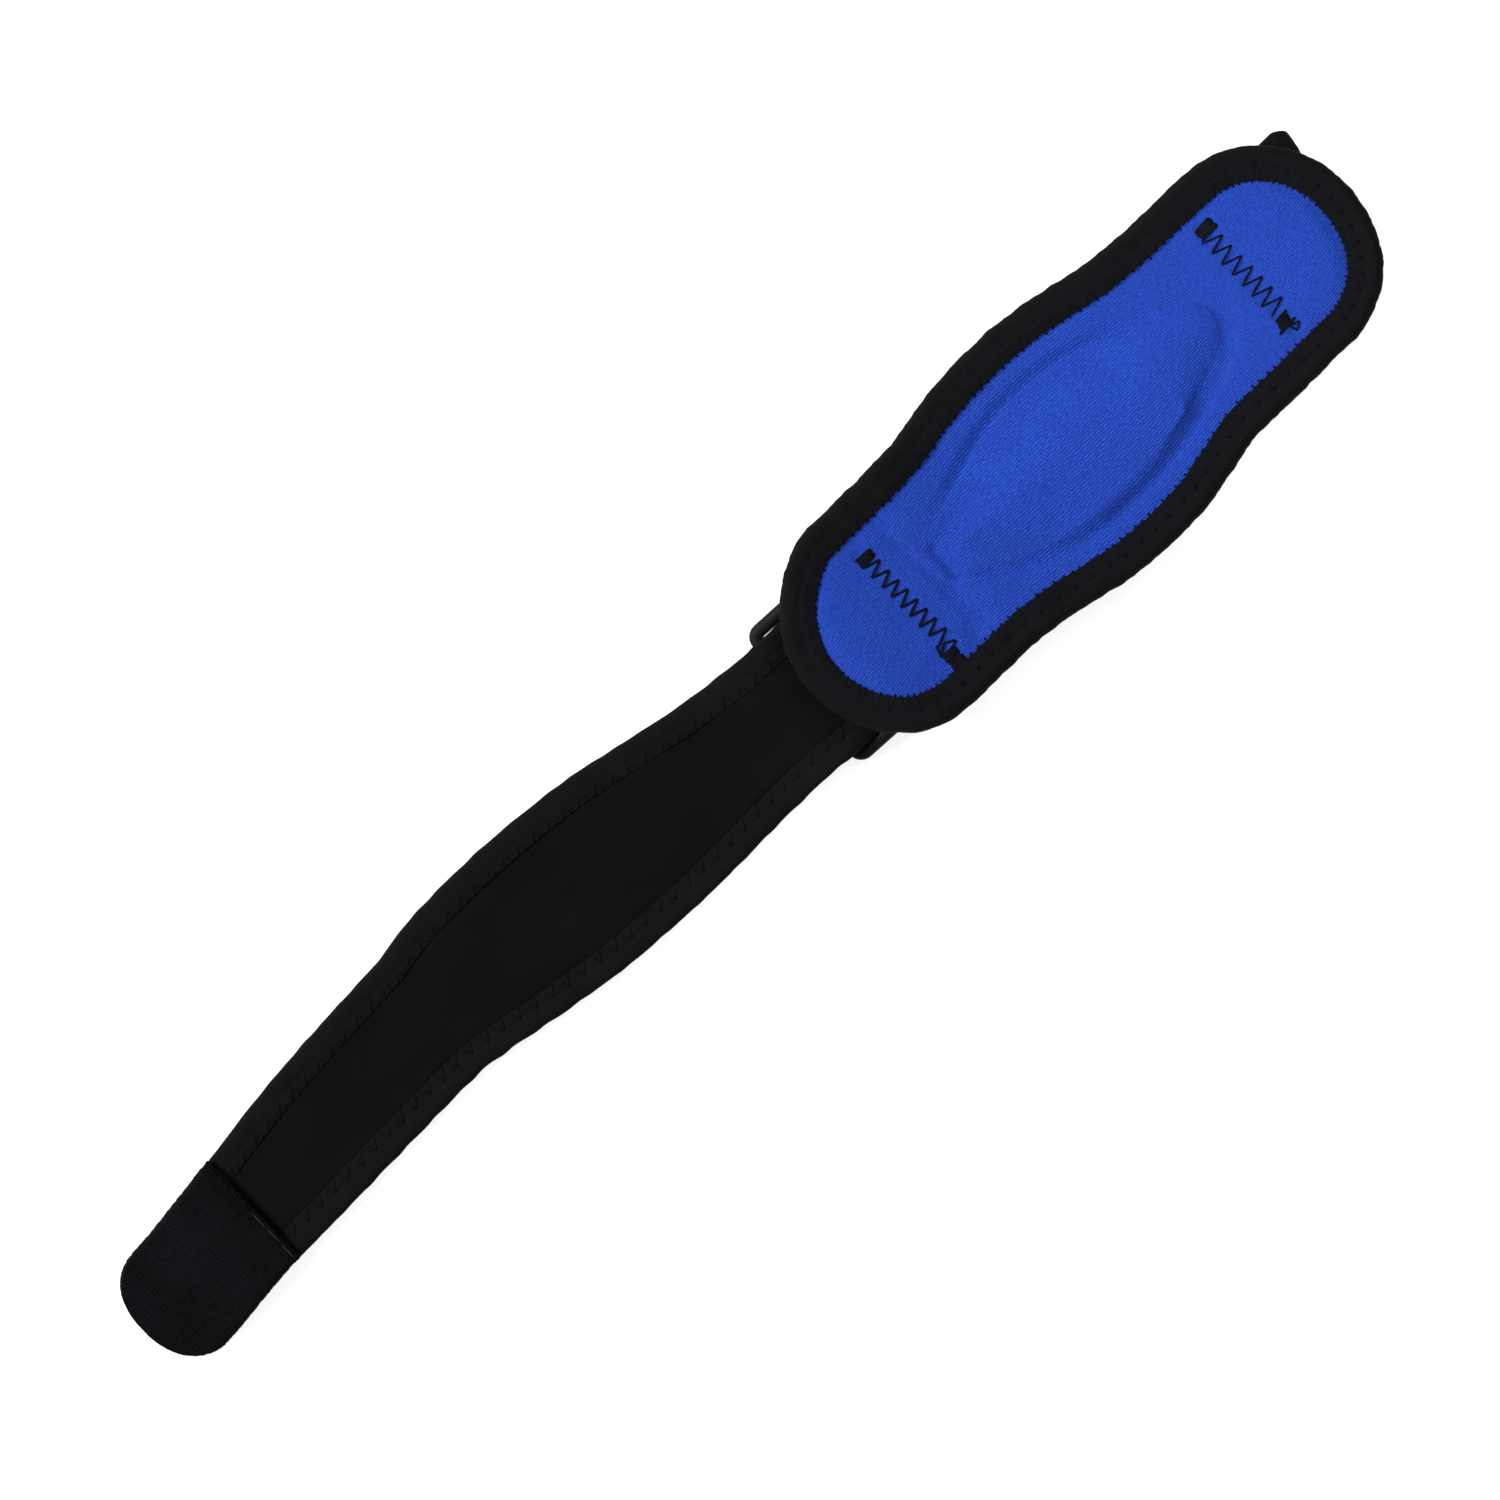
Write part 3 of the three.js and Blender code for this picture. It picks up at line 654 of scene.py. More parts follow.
def piece_from_bmesh(name, bm):
    """A smooth-shaded object in the scene from a finished bmesh."""
    for face in bm.faces:
        face.smooth = True
    mesh = bpy.data.meshes.new(name)
    bm.to_mesh(mesh)
    bm.free()
    piece = bpy.data.objects.new(name, mesh)
    bpy.context.scene.collection.objects.link(piece)
    return piece


def close_up(piece):
    """Fills the open ends of a tube, if it has any, and turns its faces outwards."""
    bm = bmesh.new()
    bm.from_mesh(piece.data)
    bmesh.ops.holes_fill(bm, edges=[e for e in bm.edges if e.is_boundary], sides=0)
    bmesh.ops.recalc_face_normals(bm, faces=bm.faces)
    bm.to_mesh(piece.data)
    bm.free()
    return piece


def thicken(piece, wall):
    """Gives a sheet its thickness, inwards from its face."""
    solid = piece.modifiers.new("Thickness", "SOLIDIFY")
    solid.thickness = wall
    solid.offset = -1.0
    solid.use_even_offset = False
    return piece


def finish_piece(piece, material, slot, *nodes):
    """Dresses a piece, lets it ride on the object and stand for its solids."""
    piece.data.materials.clear()
    piece.data.materials.append(material)
    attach(piece, "root")
    if nodes:
        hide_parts(*nodes)
    return piece


# Finishes

class Nodes:
    """Adds linked nodes to a new material and keeps its shader."""

    def __init__(self, name):
        self.material = bpy.data.materials.new(name)
        self.material.use_nodes = True
        self.tree = self.material.node_tree
        self.shader = self.tree.nodes["Principled BSDF"]

    def put(self, socket, value):
        if isinstance(value, bpy.types.NodeSocket):
            self.tree.links.new(value, socket)
        else:
            socket.default_value = value

    def math(self, operation, first, second=0.0):
        node = self.tree.nodes.new("ShaderNodeMath")
        node.operation = operation
        self.put(node.inputs[0], first)
        self.put(node.inputs[1], second)
        return node.outputs[0]

    def wave(self, value, pitch):
        """A cosine of the value from 0 to 1, once each pitch."""
        turned = self.math("MULTIPLY", value, 2 * math.pi / pitch)
        return self.half(self.math("COSINE", turned))

    def half(self, value):
        """-1 to 1 brought to 0 to 1."""
        return self.math("ADD", self.math("MULTIPLY", value, 0.5), 0.5)

    def squared(self, value, reach):
        """The square of the value, 1 where it equals the reach."""
        part = self.math("MULTIPLY", value, 1 / reach)
        return self.math("MULTIPLY", part, part)

    def cloth(self):
        """Place along and across the cloth, in millimetres."""
        node = self.tree.nodes.new("ShaderNodeUVMap")
        node.uv_map = "cloth"
        split = self.tree.nodes.new("ShaderNodeSeparateXYZ")
        self.put(split.inputs[0], node.outputs["UV"])
        return split.outputs["X"], split.outputs["Y"], node.outputs["UV"]

    def place(self):
        """Place on the object, in metres."""
        return self.tree.nodes.new("ShaderNodeTexCoord").outputs["Object"]

    def noise(self, vector, scale, detail=2.0, roughness=0.5):
        node = self.tree.nodes.new("ShaderNodeTexNoise")
        node.inputs["Scale"].default_value = scale
        node.inputs["Detail"].default_value = detail
        node.inputs["Roughness"].default_value = roughness
        self.put(node.inputs["Vector"], vector)
        return node.outputs["Fac"]

    def stretched(self, vector, along, across):
        node = self.tree.nodes.new("ShaderNodeMapping")
        node.inputs["Scale"].default_value = (along, across, 1.0)
        self.put(node.inputs["Vector"], vector)
        return node.outputs["Vector"]

    def mix(self, factor, first, second):
        node = self.tree.nodes.new("ShaderNodeMix")
        node.data_type = "RGBA"
        self.put(node.inputs["Factor"], factor)
        for socket, value in ((node.inputs["A"], first), (node.inputs["B"], second)):
            self.put(socket, value if isinstance(value, bpy.types.NodeSocket) else (*value, 1.0))
        return node.outputs["Result"]

    def range(self, value, low, high, to_low=0.0, to_high=1.0):
        node = self.tree.nodes.new("ShaderNodeMapRange")
        self.put(node.inputs["Value"], value)
        for name, number in (
            ("From Min", low), ("From Max", high), ("To Min", to_low), ("To Max", to_high),
        ):
            node.inputs[name].default_value = number
        return node.outputs["Result"]

    def bump(self, height, distance, strength=1.0):
        node = self.tree.nodes.new("ShaderNodeBump")
        node.inputs["Distance"].default_value = distance
        node.inputs["Strength"].default_value = strength
        self.put(node.inputs["Height"], height)
        self.put(self.shader.inputs["Normal"], node.outputs["Normal"])

    def dress(self, base, roughness, specular):
        self.put(self.shader.inputs["Base Color"], base)
        self.put(self.shader.inputs["Roughness"], roughness)
        self.shader.inputs["Specular IOR Level"].default_value = specular
        return self.material


def scaled(tint, factor):
    return tuple(min(1.0, channel * factor) for channel in tint)


def knit_finish(finishes, size):
    """Jersey knit: ribs of short loops that run along the pad, clearest over the insert."""
    n = Nodes("knit_face")
    along, across, cloth = n.cloth()
    drift = n.noise(n.stretched(cloth, 0.25, 0.25), 1.0, 2.0)
    rib = n.wave(n.math("ADD", across, n.math("MULTIPLY", drift, 0.3)), size.knit_pitch / MM)
    loops = n.noise(n.stretched(cloth, 0.9, 2.4), 1.0, 1.0)
    fleck = n.noise(n.stretched(cloth, 1.4, 4.0), 1.0, 2.0)
    reach = n.math("ADD", n.squared(along, 46.0), n.squared(across, 19.0))
    over_insert = n.range(reach, 0.7, 1.4, 1.0, 0.95)
    patch = n.range(n.noise(n.stretched(cloth, 0.10, 0.14), 1.0, 2.0), 0.35, 0.65, 0.6, 1.0)
    ribbed = n.math("MULTIPLY", rib, n.range(loops, 0.3, 0.65))
    height = n.math("MULTIPLY", n.math("MULTIPLY", ribbed, patch), over_insert)
    tone = n.math("ADD", n.math("MULTIPLY", height, 0.75), n.math("MULTIPLY", fleck, 0.5))
    base = n.mix(
        n.range(tone, 0.1, 0.85), scaled(finishes.knit, 0.44), scaled(finishes.knit, 1.60)
    )
    n.bump(n.math("ADD", height, n.math("MULTIPLY", fleck, 0.3)), 0.21 * MM, 1.0)
    return n.dress(base, 0.85, specular=0.05)


def tape_finish(tint, name):
    """Soft woven tape: fine ribs across it, with a dry, fibrous face."""
    n = Nodes(name)
    along, across, cloth = n.cloth()
    wander = n.math("MULTIPLY", n.noise(n.stretched(cloth, 0.5, 0.5), 1.0), 0.6)
    ribs = n.wave(n.math("ADD", along, wander), 0.55)
    rows = n.wave(n.math("ADD", across, wander), 0.8)
    fibre = n.noise(n.stretched(cloth, 3.0, 1.2), 1.0, 3.0, 0.6)
    patch = n.noise(n.stretched(cloth, 0.12, 0.3), 1.0, 2.0)
    weave = n.math("ADD", n.math("MULTIPLY", ribs, 0.5), n.math("MULTIPLY", rows, 0.25))
    tone = n.math("ADD", n.math("MULTIPLY", fibre, 0.7), n.math("MULTIPLY", weave, 0.4))
    dark, light = scaled(tint, 0.6), scaled(tint, 1.5)
    base = n.mix(n.range(n.math("ADD", tone, n.math("MULTIPLY", patch, 0.5)), 0.4, 1.1), dark, light)
    n.bump(n.math("ADD", weave, n.math("MULTIPLY", fibre, 0.6)), 0.08 * MM, 0.6)
    return n.dress(base, 0.9, specular=0.05)


def neoprene_finish(finishes):
    """Plain fine knit glued to neoprene: nearly smooth, dull and very dark."""
    n = Nodes("strap_cloth")
    along, across, cloth = n.cloth()
    grain = n.noise(n.stretched(cloth, 2.2, 3.2), 1.0, 3.0, 0.6)
    rows = n.wave(n.math("ADD", across, n.math("MULTIPLY", grain, 0.3)), 0.6)
    patch = n.noise(n.stretched(cloth, 0.05, 0.09), 1.0, 3.0)
    tone = n.math("ADD", n.math("MULTIPLY", grain, 0.5), n.math("MULTIPLY", patch, 0.6))
    base = n.mix(
        n.range(tone, 0.35, 0.75), scaled(finishes.neoprene, 0.7), scaled(finishes.neoprene, 1.35)
    )
    n.bump(n.math("ADD", n.math("MULTIPLY", rows, 0.4), grain), 0.05 * MM, 0.5)
    return n.dress(base, 0.95, specular=0.04)


def webbing_finish(finishes):
    """Flat woven webbing: thick yarns over and under each other."""
    n = Nodes("loop_webbing")
    along, across, cloth = n.cloth()
    over = n.wave(along, 1.1)
    under = n.wave(n.math("ADD", across, n.math("MULTIPLY", along, 0.5)), 1.3)
    fibre = n.noise(n.stretched(cloth, 1.0, 5.0), 1.0, 2.0)
    weave = n.math("MULTIPLY", over, under)
    base = n.mix(
        n.math("MULTIPLY", n.math("ADD", weave, fibre), 0.5),
        scaled(finishes.webbing, 0.6), scaled(finishes.webbing, 1.5),
    )
    n.bump(n.math("ADD", weave, n.math("MULTIPLY", fibre, 0.3)), 0.25 * MM, 0.9)
    return n.dress(base, 0.8, specular=0.08)


def plastic_finish(finishes):
    """Moulded plastic with a fine matt grain and a few scuffs."""
    n = Nodes("ring_moulding")
    grain = n.noise(n.place(), 2600.0, 2.0)
    scuff = n.noise(n.place(), 350.0, 3.0)
    base = n.mix(n.range(scuff, 0.45, 0.75), finishes.plastic, scaled(finishes.plastic, 1.6))
    n.bump(grain, 0.03 * MM, 0.4)
    return n.dress(base, n.range(scuff, 0.3, 0.7, 0.45, 0.62), specular=0.1)


def hook_finish(finishes):
    """Nylon of the hook tape's ground and hooks."""
    n = Nodes("tab_nylon")
    grain = n.noise(n.place(), 900.0, 3.0)
    patch = n.noise(n.place(), 90.0, 2.0)
    tone = n.math("ADD", n.math("MULTIPLY", grain, 0.6), n.math("MULTIPLY", patch, 0.4))
    base = n.mix(n.range(tone, 0.35, 0.65), scaled(finishes.hook, 0.7), scaled(finishes.hook, 1.4))
    n.bump(grain, 0.08 * MM, 0.6)
    return n.dress(base, 0.8, specular=0.04)


def thread_finish(name, tint):
    """Twisted polyester thread."""
    n = Nodes(name)
    twist = n.noise(n.place(), 3000.0, 1.0)
    base = n.mix(twist, scaled(tint, 0.6), scaled(tint, 1.5))
    n.bump(twist, 0.05 * MM, 0.6)
    return n.dress(base, 0.6, specular=0.06)


def finish(context, name, make):
    """The named finish, made once."""
    known = bpy.data.materials.get(name)
    return known or make(context.scene.elbow_strap_finishes)


# Threads

STITCH_LIFT = 0.55
STITCH_DEPTH = 0.7
STITCH_POINTS = 9


def threads(name, lines, width, layout, sides=2):
    """Sewing threads along lines of points, as one piece of round tubes."""
    curve = bpy.data.curves.new(name, "CURVE")
    curve.dimensions = "3D"
    curve.bevel_depth = width / 2
    curve.bevel_resolution = sides
    curve.use_fill_caps = True
    for line in lines:
        spline = curve.splines.new("POLY")
        spline.points.add(len(line) - 1)
        places = np.concatenate([line + layout.shift, np.ones((len(line), 1))], axis=1)
        spline.points.foreach_set("co", places.ravel())
    holder = bpy.data.objects.new(name, curve)
    mesh = bpy.data.meshes.new_from_object(holder)
    bpy.data.objects.remove(holder)
    bpy.data.curves.remove(curve)
    bm = bmesh.new()
    bm.from_mesh(mesh)
    bpy.data.meshes.remove(mesh)
    bmesh.ops.remove_doubles(bm, verts=bm.verts, dist=0.000001)
    return piece_from_bmesh(name, bm)


def stroke(start, end, surface, width):
    """One stitch between two holes: it comes up, lies on the cloth and goes down."""
    t = np.linspace(0, 1, STITCH_POINTS)
    flat = np.outer(1 - t, start) + np.outer(t, end)
    lift = width * (STITCH_LIFT - (STITCH_LIFT + STITCH_DEPTH) * np.abs(2 * t - 1) ** 6)
    return surface(flat, lift)


def on_face(layout):
    """Lays flat points on the pad's face."""
    def lay(flat, lift):
        height = face_height(layout, flat[:, 0], flat[:, 1]) + lift
        return np.column_stack([flat, height])
    return lay


def zigzag(corners, surface, width):
    """A row of stitches from corner to corner."""
    return [stroke(a, b, surface, width) for a, b in zip(corners[:-1], corners[1:])]


# Pad tape

TAPE_ROLL_SHARE = 0.36
PAD_STITCH_INSET = 4.4 * MM
PAD_STITCH_PITCH = 4.5 * MM
TOOTH_PITCH = 2.05 * MM
TOOTH_DEPTH = 0.24 * MM
STITCH_STEPS = 6

# How deep the row of stitches, each dimple in it and the cut edge sink, how high the tape stands
# beside the row, and where it falls to its cut edge
PAD_ROW_SINK = 0.10 * MM
PAD_DIMPLE = 0.10 * MM
PAD_EDGE_SINK = 0.5 * MM
PAD_CROWN = 0.22 * MM
PAD_EDGE_FALL = Step(5, 8)
PAD_FOOT_SHARE = 0.985


def tooth_depth(share, total, seed):
    """How far the tape's cut edge stands in or out, tooth by tooth."""
    count = round(total / TOOTH_PITCH)
    draw = np.random.default_rng(seed)
    depth = draw.uniform(-1, 1, 2 * count)
    depth[::2] = np.abs(depth[::2])
    depth[1::2] = -np.abs(depth[1::2])
    knots = np.linspace(0, 1, 2 * count + 1)
    return TOOTH_DEPTH * np.interp(share % 1.0, knots, np.append(depth, depth[0]))


def tape_section(q, roll, width):
    """Inset from the edge and share of the half thickness, from the outermost line inwards."""
    turn = np.clip(q / TAPE_ROLL_SHARE, 0, 1) * np.pi / 2
    flat = np.clip((q - TAPE_ROLL_SHARE) / (1 - TAPE_ROLL_SHARE), 0, 1)
    return roll * (1 - np.cos(turn)) + flat * (width - roll), np.sin(turn)


def section_share(inset, roll, width):
    """The place across the tape's section whose inset is given, on its flat part."""
    return TAPE_ROLL_SHARE + (1 - TAPE_ROLL_SHARE) * (inset - roll) / (width - roll)


def pad_tape_place(layout, share, t):
    """Places on the tape over the pad's edge: t is 1 at its upper inner edge, -1 below."""
    size = layout.size
    loop = layout.pad_loop
    upper = np.where(t >= 0, 1.0, -1.0)
    teeth = tooth_depth(share, loop.length, 11) * smooth(np.abs(t), 0.9, 1.0)
    inset, up = tape_section(np.abs(t), PAD_TAPE_ROLL, size.pad_tape_width)
    inset = inset + teeth * (upper > 0)
    edge, out = layout.on_loop(share)
    flat = edge - out * inset[:, None]
    count = round(loop.length / PAD_STITCH_PITCH)
    along = (share * count + 0.5) % 1.0 - 0.5
    spot = np.hypot(along * PAD_STITCH_PITCH, inset - PAD_STITCH_INSET)
    sink = PAD_ROW_SINK * bump_at(inset - PAD_STITCH_INSET, 1.0 * MM)
    sink += PAD_DIMPLE * bump_at(spot, 0.7 * MM)
    sink += PAD_EDGE_SINK * stepped(inset, PAD_EDGE_FALL)
    sink -= PAD_CROWN * np.sin(np.pi * np.clip(inset / PAD_STITCH_INSET, 0, 1))
    middle = layout.pad_base(flat[:, 0]) + layout.sheets / 2
    half = layout.sheets / 2 + layout.below_pad
    rough = np.column_stack([flat, upper * half])
    sink += uneven(rough, Wave(0.10, 6, 12), Wave(0.05, 2, 13))
    swell = uneven(edge, Wave(0.14, 5, 14), Wave(0.05, 1.6, 15))
    flat = flat + out * (swell * (1 - smooth(inset, 0, 4 * MM)))[:, None]
    return np.column_stack([flat, middle + upper * (half - sink) * up])


def pad_tape_stitches(layout):
    """Zigzag thread from the row of dimples to the tape's cut edge, and over onto the face."""
    size = layout.size
    count = round(layout.pad_loop.length / PAD_STITCH_PITCH)
    draw = np.random.default_rng(21)
    row = section_share(PAD_STITCH_INSET, PAD_TAPE_ROLL, size.pad_tape_width)
    steps = np.linspace(0, 1, STITCH_STEPS)
    lines = []
    for i in range(count):
        for hole, side in ((i, 0.28), (i + 1, 0.72)):
            foot_at = i + side + draw.uniform(-0.05, 0.05)
            shares = (hole + (foot_at - hole) * steps) / count
            places = pad_tape_place(layout, shares, row + (PAD_FOOT_SHARE - row) * steps)
            places[:, 2] -= 0.2 * size.thread_width
            edge, out = layout.on_loop(np.array([foot_at / count]))
            reach = size.pad_tape_width + draw.uniform(0.2, 0.6) * MM
            foot = (edge - out * reach)[0]
            low = face_height(layout, foot[:1], foot[1:])[0] - 0.1 * MM
            lines.append(np.vstack([places, [foot[0], foot[1], low]]))
    return lines


# The strap

def upper_run(layout):
    """The strap's upper layer, from its sewn end to the fold."""
    low, mid, fold = layout.ring_pin, layout.middle_run, layout.fold_run
    ring, folded = layout.ring_share, layout.fold_share
    return [
        Run(0, low, 1.03 * ring, 0, 0),
        Run(0.12, low, 1.05 * ring, 0.005, 0),
        Run(0.3, mid, 1.08 * ring, 0.01, 0),
        Run(0.8, mid, 1.1 * ring, 0.005, 0),
        Run(0.88, 0.4 * mid + 0.6 * fold, 0.9 * folded, 0, 0.4),
        Run(0.96, fold, 1.01 * folded, 0, 0.9),
        Run(1, fold, 1.02 * folded, 0, 1),
    ]


def lower_run(layout):
    """The strap's lower layer, from the fold to the ring's inner bar."""
    floor, ring, folded = layout.floor_run, layout.ring_share, layout.fold_share
    return [
        Run(0, floor, 1.02 * folded, 0, 1),
        Run(0.12, floor, 0.98 * folded, 0, 0.4),
        Run(0.4, floor, 0.93 * folded, 0.01, 0),
        Run(0.75, floor, 1.06 * ring, 0.01, 0),
        Run(1, floor, ring, 0.004, 0),
    ]


def climb_run(layout):
    """The strap's way up through the ring and over its outer bar."""
    floor, high = layout.floor_run, layout.over_bar
    return [
        Run(0, floor, layout.ring_share, 0.004, 0),
        Run(0.5, floor + 0.64 * (high - floor), layout.slot_share, layout.slot_side, 0),
        Run(0.78, floor + 0.9 * (high - floor), layout.slot_share, layout.slot_side, 0),
        Run(0.9, high, layout.slot_share, layout.slot_side, 0),
        Run(1, high, layout.slot_share, layout.slot_side, 0),
    ]


def free_run(layout):
    """The strap's free run, from the ring to under the tab."""
    floor, high = layout.floor_run, layout.over_bar
    return [
        Run(0, high, layout.slot_share, layout.slot_side, 0),
        Run(0.012, high, layout.slot_share, layout.slot_side, 0),
        Run(0.03, floor + 0.94 * (high - floor), 0.79, 0.017, 0),
        Run(0.12, floor, 0.827, 0.039, 0),
        Run(0.21, floor, 0.91, 0.068, 0),
        Run(0.3, floor, 0.982, 0.103, 0),
        Run(0.39, floor, 1.0, 0.13, 0),
        Run(0.485, floor, 0.958, 0.161, 0),
        Run(0.577, floor, 0.87, 0.181, 0),
        Run(0.623, floor, 0.812, 0.175, 0),
        Run(0.76, floor, 0.789, 0.145, 0),
        Run(0.85, floor, 0.765, 0.117, 0),
        Run(0.94, floor, 0.72, 0.081, 0),
        Run(1, floor, 0.68, 0.06, 0),
    ]


def tab_run(size):
    """The hook tab: how far it lies on the strap, where it has stepped down, and its tip."""
    return [
        TabRow(0, 1.02, 0.078, 1),
        TabRow(TAB_OVERLAP / size.tab_length, 1.005, 0.055, 1),
        TabRow((TAB_OVERLAP + TAB_STEP_LENGTH) / size.tab_length, 1, 0.01, 0),
        TabRow(1, 1, 0.02, 0),
    ]


class Line:
    """A line of stations for a flat strip: where it runs, its edges, and the way off its face."""

    def __init__(self, columns):
        self.x, self.z, self.left, self.right, self.slant = columns
        ahead = np.gradient(self.x)
        rise = np.gradient(self.z)
        size = np.hypot(ahead, rise)
        self.normal_x, self.normal_z = rise / size, -ahead / size
        steps = np.hypot(np.diff(self.x), np.diff(self.z))
        self.run = np.concatenate([[0], np.cumsum(steps)])
        self.count = len(self.x)

    def place(self, station, y, lift):
        """Places at stations, which may lie between two, across at y and off the face by lift."""
        at = np.arange(self.count)
        x, z, slant, nx, nz = (
            np.interp(station, at, column)
            for column in (self.x, self.z, self.slant, self.normal_x, self.normal_z)
        )
        return np.column_stack([x + lift * nx + slant * y, y, z + lift * nz])

    def edges(self, station):
        """The strip's left and right edges at stations."""
        at = np.arange(self.count)
        return np.interp(station, at, self.left), np.interp(station, at, self.right)

    def along(self, station):
        """How far along the line stations lie."""
        return np.interp(station, np.arange(self.count), self.run)

    def station_at(self, run):
        """The stations at distances along the line."""
        return np.interp(run, self.run, np.arange(self.count))


def run_stations(layout, rows, from_x, to_x, count):
    """Columns of one of the strap's runs between two places along it."""
    along = np.linspace(0, 1, count + 1)
    whole = layout.size.strap_width
    half = between(rows, "width", along) * whole / 2
    side = between(rows, "side", along) * whole
    return np.array([
        from_x + along * (to_x - from_x), between(rows, "height", along),
        side + half, side - half, between(rows, "slant", along) * FOLD_SLANT,
    ])


# How much the soft fold bulges past its solid, and how far it narrows at its outermost line
FOLD_BULGE = 0.6 * MM
FOLD_PINCH = 0.07


def strap_line(layout):
    """The strap from its sewn end, round the fold and through the ring, to its free end."""
    radius = (layout.fold_run - layout.floor_run) / 2
    bend_x = layout.fold_x + FOLD_BULGE - radius - layout.strap_thick / 2
    sewn_x = layout.seam_low_x - STRAP_END_OVERLAP
    end_x = layout.tab_edge_x - TAB_OVERLAP
    upper = run_stations(layout, upper_run(layout), sewn_x, bend_x, 110)
    lower = run_stations(layout, lower_run(layout), bend_x, layout.inner_bar_x, 90)
    climb = run_stations(layout, climb_run(layout), layout.inner_bar_x, layout.outer_bar_x, 20)
    free = run_stations(layout, free_run(layout), layout.outer_bar_x, end_x, 260)
    turn = np.pi * np.arange(1, 16) / 16
    fold = np.repeat(lower[:, :1], len(turn), axis=1)
    fold[0] = bend_x + radius * np.sin(turn)
    fold[1] = layout.floor_run + radius * (1 + np.cos(turn))
    fold[2:4] *= 1 - FOLD_PINCH * np.sin(turn) ** 2
    return Line(np.concatenate([upper, fold, lower, climb[:, 1:], free[:, 1:]], axis=1))


def strip_piece(name, line, around, section, layout, closed):
    """A piece whose grid follows a line's stations; section() gives y and lift across it."""
    def shape(s, t):
        station = (s + 1) / 2 * (line.count - 1)
        y, lift = section(station, t)
        return line.place(station, y, lift)

    def pattern(s, t):
        station = (s + 1) / 2 * (line.count - 1)
        y, lift = section(station, t)
        return np.column_stack([line.along(station), y + lift]) / MM

    piece = piece_from_grid(name, line.count - 1, around, shape, pattern, layout, seam=closed)
    return close_up(piece) if closed else piece


def band_section(t):
    """Share across from left to right, and which face, round a closed band."""
    turn = (t + 1) % 2
    across = np.where(turn <= 1, turn, 2 - turn)
    upper = np.where((turn > 0) & (turn < 1), 1.0, np.where(turn > 1, -1.0, 0.0))
    return across, upper


def strap_body(layout, line):
    """The strap's neoprene between and under its tapes."""
    tape = layout.size.strap_tape_width
    under = STRAP_TAPE_WALL + GAP

    def section(station, t):
        left, right = line.edges(station)
        across, upper = band_section(t)
        width = left - right - 2 * under
        y = left - under - across * width
        inset = np.minimum(left - y, y - right)
        wall = STRAP_EDGE_WALL + (STRAP_WALL - STRAP_EDGE_WALL) * smooth(
            inset, tape - 0.5 * MM, tape + 0.1 * MM
        )
        flat = np.column_stack([line.along(station), y])
        wave = uneven(flat, Wave(0.07, 24, 31), Wave(0.02, 6, 32))
        return y, upper * (wall / 2 + wave)

    return strip_piece("strap_body", line, 72, section, layout, closed=True)


STRAP_STITCH_INSET = 4.3 * MM
STRAP_STITCH_PITCH = 4.3 * MM
STRAP_THREAD_SHARE = 0.8

# The same depths as on the pad's tape, and how long the fall to the cut edge is
STRAP_ROW_SINK = 0.10 * MM
STRAP_DIMPLE = 0.14 * MM
STRAP_EDGE_SINK = 0.36 * MM
STRAP_CROWN = 0.12 * MM
STRAP_EDGE_FALL = 2.4 * MM


def strap_tape_section(layout, line, side, station, t):
    """Across the tape over one of the strap's edges: t is 1 at its outer-face cut edge."""
    left, right = line.edges(station)
    upper = np.where(t >= 0, 1.0, -1.0)
    width = layout.size.strap_tape_width
    inset, up = tape_section(np.abs(t), STRAP_TAPE_ROLL, width)
    run = line.along(station)
    teeth = tooth_depth(run / line.run[-1], line.run[-1], 41 + side)
    inset = inset + 0.8 * teeth * smooth(np.abs(t), 0.9, 1.0)
    along = (run / STRAP_STITCH_PITCH + 0.5) % 1.0 - 0.5
    spot = np.hypot(along * STRAP_STITCH_PITCH, inset - STRAP_STITCH_INSET)
    sink = STRAP_ROW_SINK * bump_at(inset - STRAP_STITCH_INSET, 0.9 * MM)
    sink += STRAP_DIMPLE * bump_at(spot, 0.75 * MM)
    sink += STRAP_EDGE_SINK * smooth(inset, width - STRAP_EDGE_FALL, width)
    sink -= STRAP_CROWN * np.sin(np.pi * np.clip(inset / STRAP_STITCH_INSET, 0, 1)) * (upper > 0)
    rough = np.column_stack([run, inset, upper * MM])
    sink += uneven(rough, Wave(0.05, 6, 42 + side), Wave(0.03, 2, 44))
    edge_wave = uneven(rough[:, :1], Wave(0.10, 7, 46 + side))
    inset = inset - edge_wave * (1 - smooth(inset, 0, 3 * MM))
    sink = np.where(upper > 0, sink, np.maximum(sink, 0))
    y = left - inset if side > 0 else right + inset
    return y, upper * (layout.strap_thick / 2 - sink) * up


def strap_tape(layout, line, side, name):
    """The tape folded over one of the strap's edges."""
    piece = strip_piece(
        name, line, 44,
        lambda station, t: strap_tape_section(layout, line, side, station, t),
        layout, closed=False,
    )
    if side < 0:
        piece.data.flip_normals()
    return thicken(piece, STRAP_TAPE_WALL)


